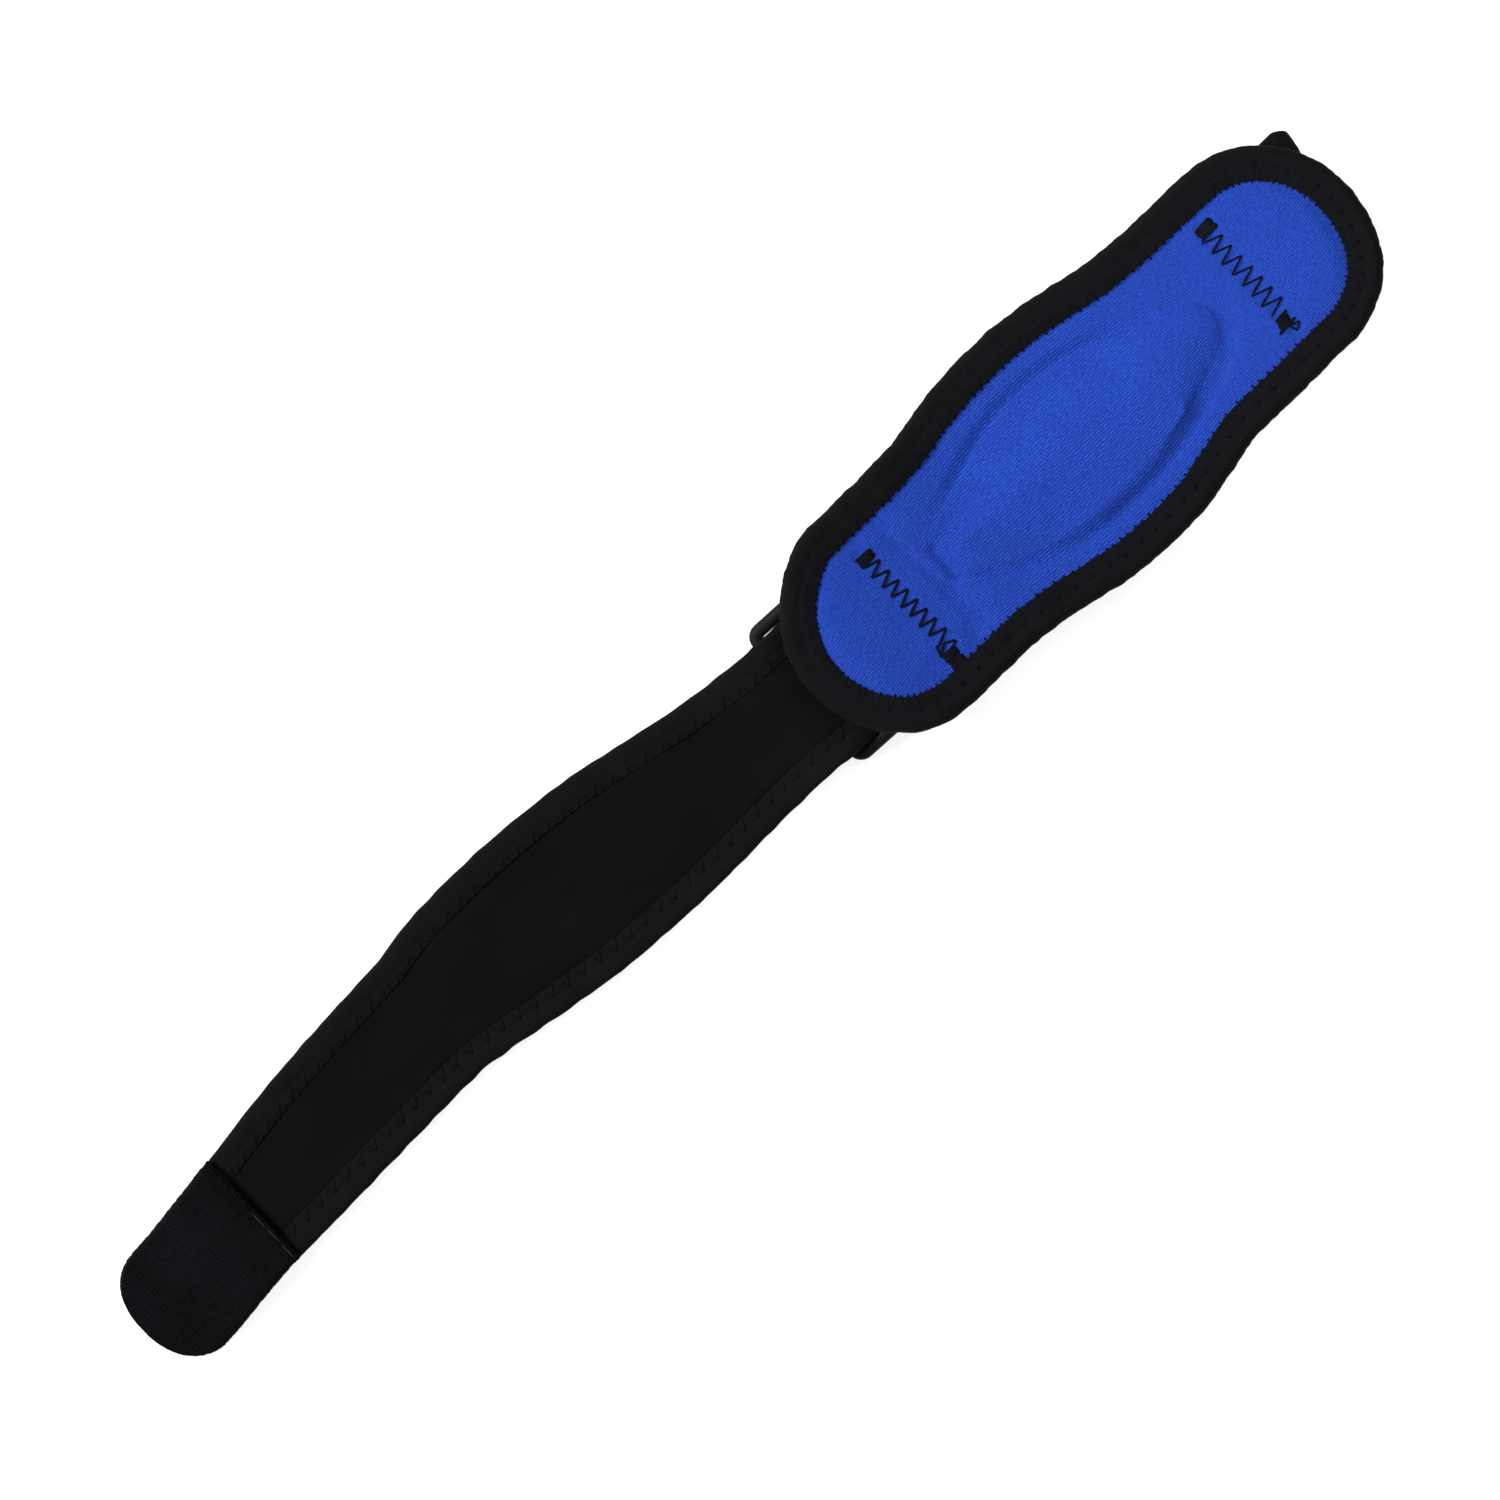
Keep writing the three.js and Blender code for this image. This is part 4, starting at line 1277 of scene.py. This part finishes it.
def strap_tape_stitches(layout, line, side):
    """Zigzag thread along the outer face of a strap tape."""
    size = layout.size
    row = section_share(STRAP_STITCH_INSET, STRAP_TAPE_ROLL, size.strap_tape_width)
    count = int(line.run[-1] / STRAP_STITCH_PITCH)
    draw = np.random.default_rng(51 + side)
    steps = np.linspace(0, 1, STITCH_STEPS)
    lines = []
    for i in range(count):
        for begin, end in ((i, i + 0.35), (i + 1, i + 0.7)):
            tip = end + draw.uniform(-0.06, 0.06)
            run = (begin + (tip - begin) * steps) * STRAP_STITCH_PITCH
            station = line.station_at(run)
            t = row + (1.0 - row) * steps
            y, lift = strap_tape_section(layout, line, side, station, t)
            lift = lift + size.thread_width * (0.15 - 0.45 * smooth(steps, 0.8, 1.0))
            lines.append(line.place(station, y, lift))
    return lines


# The ring and its webbing

RING_GRID = (220, 28)


def ring_piece(layout):
    """The ring: a bar of rounded section round a rectangle with rounded corners."""
    size = layout.size
    half_x = layout.bar_spacing / 2
    half_y = (size.slot_width + size.ring_bar) / 2
    radius = RING_CORNER - size.ring_bar / 2
    straight_x, straight_y = 2 * (half_x - radius), 2 * (half_y - radius)
    quarter = np.pi / 2 * radius
    lengths = np.cumsum([0] + 2 * [quarter, straight_x, quarter, straight_y])

    def centre(run):
        places = np.zeros((len(run), 2))
        angle = np.zeros(len(run))
        corners = [(1, 1), (-1, 1), (-1, -1), (1, -1)]
        for k, (side_x, side_y) in enumerate(corners):
            bend = (run >= lengths[2 * k]) & (run <= lengths[2 * k + 1] + 1e-9)
            turn = np.pi / 2 * k + (run - lengths[2 * k]) / radius
            middle = np.array([side_x * (half_x - radius), side_y * (half_y - radius)])
            way = np.column_stack([np.cos(turn), np.sin(turn)])
            places[bend] = (middle + radius * way)[bend]
            angle[bend] = turn[bend]
            straight = (run > lengths[2 * k + 1]) & (run <= lengths[2 * k + 2] + 1e-9)
            end = np.pi / 2 * (k + 1)
            start = middle + radius * np.array([math.cos(end), math.sin(end)])
            ahead = np.array([-math.sin(end), math.cos(end)])
            gone = (run - lengths[2 * k + 1])[:, None]
            places[straight] = (start + gone * ahead)[straight]
            angle[straight] = end
        return places, angle

    def shape(s, t):
        run = (s + 1) / 2 * lengths[-1]
        places, angle = centre(run)
        around = np.pi * t
        c, sn = np.cos(around), np.sin(around)
        fullness = np.abs(c) ** RING_SECTION_POWER + np.abs(sn) ** RING_SECTION_POWER
        reach = size.ring_bar / 2 / fullness ** (1 / RING_SECTION_POWER)
        out = np.column_stack([np.cos(angle), np.sin(angle)]) * (reach * c)[:, None]
        local = np.column_stack([places + out, reach * sn])
        tilt = -math.asin(layout.ring_rise / layout.bar_spacing)
        turned = Matrix.Rotation(RING_TURN, 3, "Z") @ Matrix.Rotation(tilt, 3, "Y")
        middle = [
            (layout.inner_bar_x + layout.outer_bar_x) / 2, PAD_SHIFT,
            (layout.ring_pin + layout.outer_bar) / 2,
        ]
        return local @ np.array(turned).T + middle

    def pattern(s, t):
        return np.column_stack([s, t])

    return close_up(piece_from_grid("ring_bar", *RING_GRID, shape, pattern, layout, seam=True))


def webbing_line(layout):
    """The webbing from its sewn end, round the ring's bar and back."""
    radius = layout.strap_thick / 2 + GAP + WEBBING_WALL / 2
    end_x = layout.seam_low_x + WEBBING_OVERLAP
    bend_x = layout.inner_bar_x - RING_PLAY
    turn = np.linspace(0, np.pi, 41)
    straight = np.linspace(end_x, bend_x, 25)[:-1]
    x = np.concatenate([straight, bend_x - radius * np.sin(turn), straight[::-1]])
    z = np.concatenate([
        np.full(24, layout.ring_pin + radius), layout.ring_pin + radius * np.cos(turn),
        np.full(24, layout.ring_pin - radius),
    ])
    half = layout.size.webbing_width / 2
    rim = np.ones(len(x))
    return Line(np.array([x, z, (PAD_SHIFT + half) * rim, (PAD_SHIFT - half) * rim, 0 * rim]))


def webbing_piece(layout):
    """The webbing with rounded edges."""
    line = webbing_line(layout)

    def section(station, t):
        left, right = line.edges(station)
        across, upper = band_section(t)
        y = left - across * (left - right)
        inset = np.minimum(left - y, y - right)
        lift = WEBBING_WALL / 2 * np.sqrt(np.clip(1 - (1 - np.clip(inset / MM, 0, 1)) ** 2, 0, 1))
        return y, upper * lift

    return strip_piece("ring_webbing", line, 64, section, layout, closed=True)


# The hook tab

HOOK_PITCH = 0.95 * MM
HOOK_HEIGHT = 0.35 * MM
HOOK_RADIUS = 0.15 * MM
TAB_THIN_LENGTH = 3.5 * MM
TAB_THIN_SHARE = 0.25
TAB_RIM_SHARE = 0.45
TAB_STITCH_INSET = 0.9 * MM


def tab_half_and_side(layout, along):
    """Half the tab's width, and how far it lies to one side."""
    size = layout.size
    from_tip = (1 - along) * size.tab_length + 0.05 * MM
    rounding = end_rounding(from_tip, TAB_END_LENGTH, TAB_TIP_POWER)
    half = between(tab_run(size), "width", along) * size.tab_width * rounding / 2
    return half, between(tab_run(size), "side", along) * size.strap_width


def tab_line(layout):
    """The hook tab from its sewn edge to its tip."""
    along = np.sin(np.pi / 2 * np.linspace(0, 1, 111))
    half, side = tab_half_and_side(layout, along)
    raised = layout.strap_thick + GAP
    x = layout.tab_edge_x + along * (layout.tab_tip_x - layout.tab_edge_x)
    z = TAB_WALL / 2 + raised * between(tab_run(layout.size), "step", along)
    return Line(np.array([x, z, side + half, side - half, 0 * x]))


def tab_top(run):
    """Height of the tab's face over its middle: it thins out towards its sewn edge."""
    full = smooth(run, 0, TAB_THIN_LENGTH)
    return TAB_WALL / 2 * (TAB_THIN_SHARE + (1 - TAB_THIN_SHARE) * full)


def tab_piece(layout):
    """The tab: a stiff flat tape with a slightly rough cut edge all round."""
    line = tab_line(layout)

    def section(station, t):
        left, right = line.edges(station)
        across, upper = band_section(t)
        y = left - across * (left - right)
        inset = np.minimum(left - y, y - right)
        run = line.along(station)
        cut = uneven(np.column_stack([run, y]), Wave(0.09, 1.3, 61))
        y = y + cut * np.where(across < 0.5, 1, -1) * (1 - smooth(inset, 0, 1.5 * MM))
        soft = np.sqrt(np.clip(1 - (1 - np.clip(inset / (0.5 * MM), 0, 1)) ** 2, 0, 1))
        wave = uneven(np.column_stack([run, y]), Wave(0.05, 11, 62))
        half = np.where(upper > 0, tab_top(run), TAB_WALL / 2)
        return y, upper * (half * (TAB_RIM_SHARE + (1 - TAB_RIM_SHARE) * soft) + wave * soft)

    return strip_piece("tab_tape", line, 80, section, layout, closed=True)


def tab_hooks(layout):
    """Short moulded hooks in offset rows over the tab's face."""
    size = layout.size
    line = tab_line(layout)
    bm = bmesh.new()
    draw = np.random.default_rng(71)
    rows = int(size.tab_length / HOOK_PITCH)
    for i in range(rows):
        x = layout.tab_edge_x - (i + 0.8) * HOOK_PITCH
        station = float(np.interp(-x, -line.x, np.arange(line.count)))
        left, right = (float(edge[0]) for edge in line.edges(np.array([station])))
        across = right + HOOK_PITCH * (0.8 + 0.5 * (i % 2))
        while across < left - 0.8 * HOOK_PITCH:
            lean = draw.uniform(-0.4, 0.4)
            top = tab_top(line.along(np.array([station])))
            foot = line.place(np.array([station]), np.array([across]), top)[0] + layout.shift
            tilt = Matrix.Rotation(lean, 4, "Y") @ Matrix.Rotation(draw.uniform(-0.3, 0.3), 4, "X")
            bmesh.ops.create_cone(
                bm, cap_ends=True, segments=6, radius1=HOOK_RADIUS, radius2=0.7 * HOOK_RADIUS,
                depth=HOOK_HEIGHT,
                matrix=Matrix.Translation(foot) @ tilt @ Matrix.Translation((0, 0, 0.3 * HOOK_HEIGHT)),
            )
            across += HOOK_PITCH
    return piece_from_bmesh("tab_hooks", bm)


def tab_stitches(layout, low_share, high_share, pitch, stitch):
    """A row of straight stitches just inside the tab's cut edge, between shares of its width."""
    line = tab_line(layout)
    left, right = (float(edge[0]) for edge in line.edges(np.array([0.0])))
    draw = np.random.default_rng(81)
    station = float(line.station_at(TAB_STITCH_INSET))
    y = right + low_share * (left - right)

    def lay(flat, lift):
        at = np.full(len(flat), station)
        places = line.place(at, flat[:, 1], tab_top(line.along(at)) + lift)
        places[:, 0] += flat[:, 0]
        return places

    lines = []
    while y + stitch < right + high_share * (left - right):
        drift = draw.uniform(-0.15, 0.15, 2) * MM
        lines.append(stroke((drift[0], y), (drift[1], y + stitch), lay, layout.size.thread_width))
        y += pitch
    return lines


# Seams across the face

Zigzag = namedtuple("Zigzag", "x reach first pitch lag count")
Tack = namedtuple("Tack", "x y reach spread passes lean")
Seam = namedtuple("Seam", "name zigzag tacks loose thick loose_lift seed")

# Loose passes round a bar tack of each seam, in millimetres
UPPER_LOOSE = [
    (48.6, -10.9), (52.5, -10.6), (48.2, -12.6), (52.9, -13.2), (47.3, -13.7), (51.6, -12.0),
    (49.4, -13.4), (52.8, -14.3), (51.0, -15.6), (50.2, -13.0),
]
LOWER_LOOSE = [(-54.2, -10.9), (-55.1, -13.6), (-52.6, -11.6), (-50.2, -12.9), (-52.0, -13.6)]

# The zigzag nearer the fold, and the one nearer the ring with its thicker thread. Places are in
# millimetres, lag is how far along its pitch a stitch turns back, and thick and loose_lift are
# shares of the thread's thickness.
SEAMS = [
    Seam(
        "upper_seam_thread", Zigzag(UPPER_SEAM_X / MM, 2.45, 12.6, 3.16, 0.52, 7),
        [Tack(51.8, 14.3, 2.6, 2.5, 15, 0.0), Tack(50.2, -12.3, 1.7, 2.8, 12, 0.2)],
        UPPER_LOOSE, 1.1, 1.1, 91,
    ),
    Seam(
        "lower_seam_thread", Zigzag(-52.0, 2.1, 12.6, 2.98, 0.42, 8),
        [Tack(-52.1, 13.6, 2.3, 2.1, 9, 0.0), Tack(-53.1, -15.6, 2.0, 4.2, 19, 0.0)],
        LOWER_LOOSE, 1.35, 1.0, 92,
    ),
]


def zigzag_corners(row, draw):
    """Needle holes of a zigzag seam that runs across the pad, in metres."""
    corners = []
    for i in range(row.count + 1):
        top = row.first - i * row.pitch
        slip = draw.uniform(-0.15, 0.15, 4)
        corners.append((row.x - row.reach + slip[0], top + slip[1]))
        if i < row.count:
            corners.append((row.x + row.reach + slip[2], top - row.lag * row.pitch + slip[3]))
    return on_plane(corners)


def bar_tack(tack, draw):
    """Needle holes of a bar tack: the thread runs to and fro over one spot."""
    corners = []
    for i in range(tack.passes):
        y = tack.y + tack.spread * (i / (tack.passes - 1) - 0.5) + draw.uniform(-0.2, 0.2)
        for side in (-1, 1):
            corners.append((
                tack.x + side * tack.reach * draw.uniform(0.85, 1.05) + tack.lean * (y - tack.y),
                y + draw.uniform(-0.25, 0.25),
            ))
    return on_plane(corners)


def seam_lines(layout, seam, width):
    """A zigzag seam with its bar tacks and loose passes."""
    surface = on_face(layout)
    draw = np.random.default_rng(seam.seed)
    lines = zigzag(zigzag_corners(seam.zigzag, draw), surface, width)
    for tack in seam.tacks:
        lines += zigzag(bar_tack(tack, draw), surface, width)
    return lines + zigzag(on_plane(seam.loose), surface, seam.loose_lift * width)


# Operators

def layout_of(context):
    """The layout that follows from the scene's sizes."""
    return Layout(context.scene.elbow_strap_sizes)


class MakeStage(bpy.types.Operator):
    """Make the pale floor, the soft light and the camera"""

    bl_idname = "mesh.elbow_strap_stage"
    bl_label = "Stage"

    def execute(self, context):
        make_floor()
        make_light(context)
        make_camera(context)
        return {"FINISHED"}


class MakePadFace(bpy.types.Operator):
    """Make the blue knit face over the insert"""

    bl_idname = "mesh.elbow_strap_pad_face"
    bl_label = "Pad face"

    def execute(self, context):
        layout = layout_of(context)
        swell = face_swell(layout)

        def shape(s, t):
            return face_places(layout, s, t) + np.outer(over_grid(swell, s, t), (0, 0, 1))

        def pattern(s, t):
            x, y = pad_plane(layout, s, t, PAD_TAPE_WALL + GAP)
            return knit_places(x / MM, y / MM)

        face = piece_from_grid("pad_face", *FACE_GRID, shape, pattern, layout)
        thicken(face, LINING_WALL)
        look = finish(context, "knit_face", lambda f: knit_finish(f, layout.size))
        finish_piece(face, look, "knit", "pad_lining", "gel_pad")
        return {"FINISHED"}


def knit_places(x, y):
    """Places on the knit: ribs run along the pad, drawn together towards the insert's tips."""
    spread = np.sqrt(np.clip(1 - ((x + 9) / 80) ** 2, 0.25, 1))
    over = np.maximum(np.abs(x) - 40, 0) * np.sign(x)
    drawn = smooth(np.abs(x), 42, 60)
    across = y / (spread * (1 - drawn) + drawn * 0.86) - 0.14 * over
    return np.column_stack([x, across])


class MakePadBack(bpy.types.Operator):
    """Make the neoprene sheet under the pad"""

    bl_idname = "mesh.elbow_strap_pad_back"
    bl_label = "Pad back"

    def execute(self, context):
        layout = layout_of(context)

        def shape(s, t):
            x, y = pad_plane(layout, s, t, PAD_TAPE_WALL + GAP)
            wave = uneven(np.column_stack([x, y]), Wave(0.05, 9, 5))
            return np.column_stack([x, y, layout.pad_base(x) + PAD_BACK_WALL + wave])

        def pattern(s, t):
            return np.column_stack(pad_plane(layout, s, t, 0)) / MM

        back = piece_from_grid("pad_back", *BACK_GRID, shape, pattern, layout)
        thicken(back, PAD_BACK_WALL)
        finish_piece(back, finish(context, "strap_cloth", neoprene_finish), "neoprene", "pad_backing")
        return {"FINISHED"}


class MakePadTape(bpy.types.Operator):
    """Make the tape over the pad's edge and its zigzag stitching"""

    bl_idname = "mesh.elbow_strap_pad_tape"
    bl_label = "Pad tape"

    def execute(self, context):
        layout = layout_of(context)

        def shape(s, t):
            return pad_tape_place(layout, (s + 1) / 2, t)

        def pattern(s, t):
            section = layout.size.pad_tape_width + 2 * MM
            return np.column_stack([(s + 1) / 2 * layout.pad_loop.length, t * section]) / MM

        tape = piece_from_grid("pad_tape", *TAPE_GRID, shape, pattern, layout, seam=True)
        thicken(tape, PAD_TAPE_WALL)
        look = finish(context, "pad_tape_cloth", lambda f: tape_finish(f.tape, "pad_tape_cloth"))
        finish_piece(tape, look, "tape", "pad_binding")
        thread = threads("pad_tape_thread", pad_tape_stitches(layout), layout.size.thread_width, layout)
        finish_piece(thread, black_thread(context), "tape")
        return {"FINISHED"}


def black_thread(context):
    """The thread of all the seams but the strap's."""
    return finish(context, "black_thread", lambda f: thread_finish("black_thread", f.thread))


class MakeSeams(bpy.types.Operator):
    """Make the zigzag seams and bar tacks across the pad's face"""

    bl_idname = "mesh.elbow_strap_seams"
    bl_label = "Seams"

    def execute(self, context):
        layout = layout_of(context)
        for seam in SEAMS:
            width = seam.thick * layout.size.thread_width
            thread = threads(seam.name, seam_lines(layout, seam, width), width, layout)
            finish_piece(thread, black_thread(context), "knit")
        return {"FINISHED"}


class MakeStrap(bpy.types.Operator):
    """Make the neoprene strap, its edge tapes and their stitching"""

    bl_idname = "mesh.elbow_strap_strap"
    bl_label = "Strap"

    def execute(self, context):
        layout = layout_of(context)
        line = strap_line(layout)
        tape_look = finish(
            context, "strap_tape_cloth", lambda f: tape_finish(f.strap_tape, "strap_tape_cloth")
        )
        thread_look = finish(
            context, "strap_thread", lambda f: thread_finish("strap_thread", f.strap_thread)
        )
        body = strap_body(layout, line)
        finish_piece(body, finish(context, "strap_cloth", neoprene_finish), "neoprene", "strap")
        with_pieces = []
        for side, word in ((1, "left"), (-1, "right")):
            tape = strap_tape(layout, line, side, f"strap_tape_{word}")
            finish_piece(tape, tape_look, "tape", f"strap_binding_{word}")
            stitches = threads(
                f"strap_thread_{word}", strap_tape_stitches(layout, line, side),
                STRAP_THREAD_SHARE * layout.size.thread_width, layout, sides=1,
            )
            finish_piece(stitches, thread_look, "tape")
            with_pieces += [tape, stitches]
        return {"FINISHED"}


class MakeRing(bpy.types.Operator):
    """Make the plastic ring and the webbing that holds it"""

    bl_idname = "mesh.elbow_strap_ring"
    bl_label = "Ring"

    def execute(self, context):
        layout = layout_of(context)
        ring = ring_piece(layout)
        finish_piece(ring, finish(context, "ring_moulding", plastic_finish), "ring_plastic", "ring")
        webbing = webbing_piece(layout)
        look = finish(context, "loop_webbing", webbing_finish)
        finish_piece(webbing, look, "webbing", "ring_loop")
        return {"FINISHED"}


class MakeTab(bpy.types.Operator):
    """Make the hook tab, its hooks and the stitches along its cut edge"""

    bl_idname = "mesh.elbow_strap_tab"
    bl_label = "Hook tab"

    def execute(self, context):
        layout = layout_of(context)
        look = finish(context, "tab_nylon", hook_finish)
        finish_piece(tab_piece(layout), look, "hook_tape", "hook_tab")
        finish_piece(tab_hooks(layout), look, "hook_tape")
        width = layout.size.thread_width
        # The stitches over one half of the tab's cut edge are a paler grey than the rest of the row
        pale = finish(context, "pale_thread", lambda f: thread_finish("pale_thread", f.pale_thread))
        rows = (
            ("tab_thread", 0.5, 0.98, 3.6 * MM, 2.9 * MM, black_thread(context)),
            ("tab_thread_pale", 0.03, 0.48, 4.6 * MM, 3.9 * MM, pale),
        )
        for name, low, high, pitch, stitch, thread_look in rows:
            lines = tab_stitches(layout, low, high, pitch, stitch)
            finish_piece(threads(name, lines, width, layout), thread_look, "hook_tape")
        return {"FINISHED"}


# Stage

PHOTO_TURN = math.radians(-43.7)
PHOTO_SPAN = 0.330
PHOTO_CENTRE = Vector((2.4 * MM, 0.34 * MM, 8.0 * MM))
CAMERA_HEIGHT = 2.2
SENSOR = 36.0
FLOOR_SIZE = 15.0
FLOOR_SHADE = 0.45
FLOOR_GLOW = 0.82
SURROUND_STRENGTH = 0.32

Lamp = namedtuple("Lamp", "name turn height away power width aim")

# Lamps round the middle of the picture: turn is in degrees to the left of its top, height in
# degrees above the table, away and width in metres, power in watts. Aim is 1 for a lamp that
# points at the picture's middle and 0 for one that points straight down.
LAMPS = [
    Lamp("key_light", 90.0, 38.0, 2.4, 70.0, 1.0, 1.0),
    Lamp("end_light", -46.3, 48.0, 0.27, 0.22, 0.12, 0.0),
]


def floor_finish():
    """A matt pale finish that glows a little."""
    material = bpy.data.materials.new("pale_floor")
    material.use_nodes = True
    shader = material.node_tree.nodes["Principled BSDF"]
    shader.inputs["Base Color"].default_value = (FLOOR_SHADE, FLOOR_SHADE, FLOOR_SHADE, 1.0)
    shader.inputs["Roughness"].default_value = 0.9
    shader.inputs["Specular IOR Level"].default_value = 0.0
    shader.inputs["Emission Color"].default_value = (1.0, 1.0, 1.0, 1.0)
    shader.inputs["Emission Strength"].default_value = FLOOR_GLOW
    return material


def make_floor():
    """A plain pale floor that glows a little, so that it stays near white."""
    bm = bmesh.new()
    bmesh.ops.create_grid(bm, x_segments=1, y_segments=1, size=FLOOR_SIZE)
    floor = piece_from_bmesh("floor", bm)
    floor.data.materials.append(floor_finish())


def make_light(context):
    """Light from the left of the picture, a small lamp over the far end, and a white surround."""
    scene = context.scene
    world = bpy.data.worlds.new("surround")
    world.use_nodes = True
    world.node_tree.nodes["Background"].inputs["Color"].default_value = (1.0, 1.0, 1.0, 1.0)
    world.node_tree.nodes["Background"].inputs["Strength"].default_value = SURROUND_STRENGTH
    scene.world = world
    scene.view_settings.view_transform = "Standard"
    for lamp_row in LAMPS:
        height = math.radians(lamp_row.height)
        turn = Matrix.Rotation(PHOTO_TURN + math.radians(lamp_row.turn), 3, "Z")
        direction = turn @ Vector((0, math.cos(height), math.sin(height)))
        data = bpy.data.lights.new(lamp_row.name, "AREA")
        data.energy = lamp_row.power
        data.shape = "SQUARE"
        data.size = lamp_row.width
        lamp = bpy.data.objects.new(lamp_row.name, data)
        lamp.location = PHOTO_CENTRE + direction * lamp_row.away
        lamp.rotation_mode = "QUATERNION"
        facing = Vector((0, 0, 1)).lerp(direction, lamp_row.aim)
        lamp.rotation_quaternion = facing.to_track_quat("Z", "Y")
        lamp.visible_camera = False
        scene.collection.objects.link(lamp)


def make_camera(context):
    """The camera looks straight down, turned so that the strap lies as in the photograph."""
    data = bpy.data.cameras.new("camera")
    data.sensor_width = SENSOR
    data.lens = SENSOR * CAMERA_HEIGHT / PHOTO_SPAN
    data.clip_end = 50.0
    camera = bpy.data.objects.new("camera", data)
    camera.location = PHOTO_CENTRE + Vector((0, 0, CAMERA_HEIGHT))
    camera.rotation_euler = (0.0, 0.0, PHOTO_TURN)
    context.scene.collection.objects.link(camera)
    context.scene.camera = camera


PIECE_OPERATORS = (
    MakeStage, MakePadFace, MakePadBack, MakePadTape, MakeSeams, MakeStrap, MakeRing, MakeTab,
)


class ElbowStrapPanel(bpy.types.Panel):
    """Lists the pieces of the strap and its sizes and colours."""

    bl_idname = "VIEW3D_PT_elbow_strap"
    bl_label = "Elbow strap"
    bl_space_type = "VIEW_3D"
    bl_region_type = "UI"
    bl_category = "Elbow strap"

    def draw(self, context):
        column = self.layout.column(align=True)
        for operator in PIECE_OPERATORS:
            column.operator(operator.bl_idname)
        for group in (context.scene.elbow_strap_sizes, context.scene.elbow_strap_finishes):
            box = self.layout.box()
            for name in group.bl_rna.properties.keys():
                if name not in ("rna_type", "name"):
                    box.prop(group, name)


CLASSES = (ElbowStrapSizes, ElbowStrapFinishes, *PIECE_OPERATORS, ElbowStrapPanel)


def register():
    for cls in CLASSES:
        bpy.utils.register_class(cls)
    bpy.types.Scene.elbow_strap_sizes = PointerProperty(type=ElbowStrapSizes)
    bpy.types.Scene.elbow_strap_finishes = PointerProperty(type=ElbowStrapFinishes)


def unregister():
    del bpy.types.Scene.elbow_strap_finishes
    del bpy.types.Scene.elbow_strap_sizes
    for cls in reversed(CLASSES):
        bpy.utils.unregister_class(cls)


def main():
    register()
    bpy.ops.mesh.elbow_strap_stage()
    bpy.ops.mesh.elbow_strap_pad_face()
    bpy.ops.mesh.elbow_strap_pad_back()
    bpy.ops.mesh.elbow_strap_pad_tape()
    bpy.ops.mesh.elbow_strap_seams()
    bpy.ops.mesh.elbow_strap_strap()
    bpy.ops.mesh.elbow_strap_ring()
    bpy.ops.mesh.elbow_strap_tab()


if __name__ == "__main__":
    main()
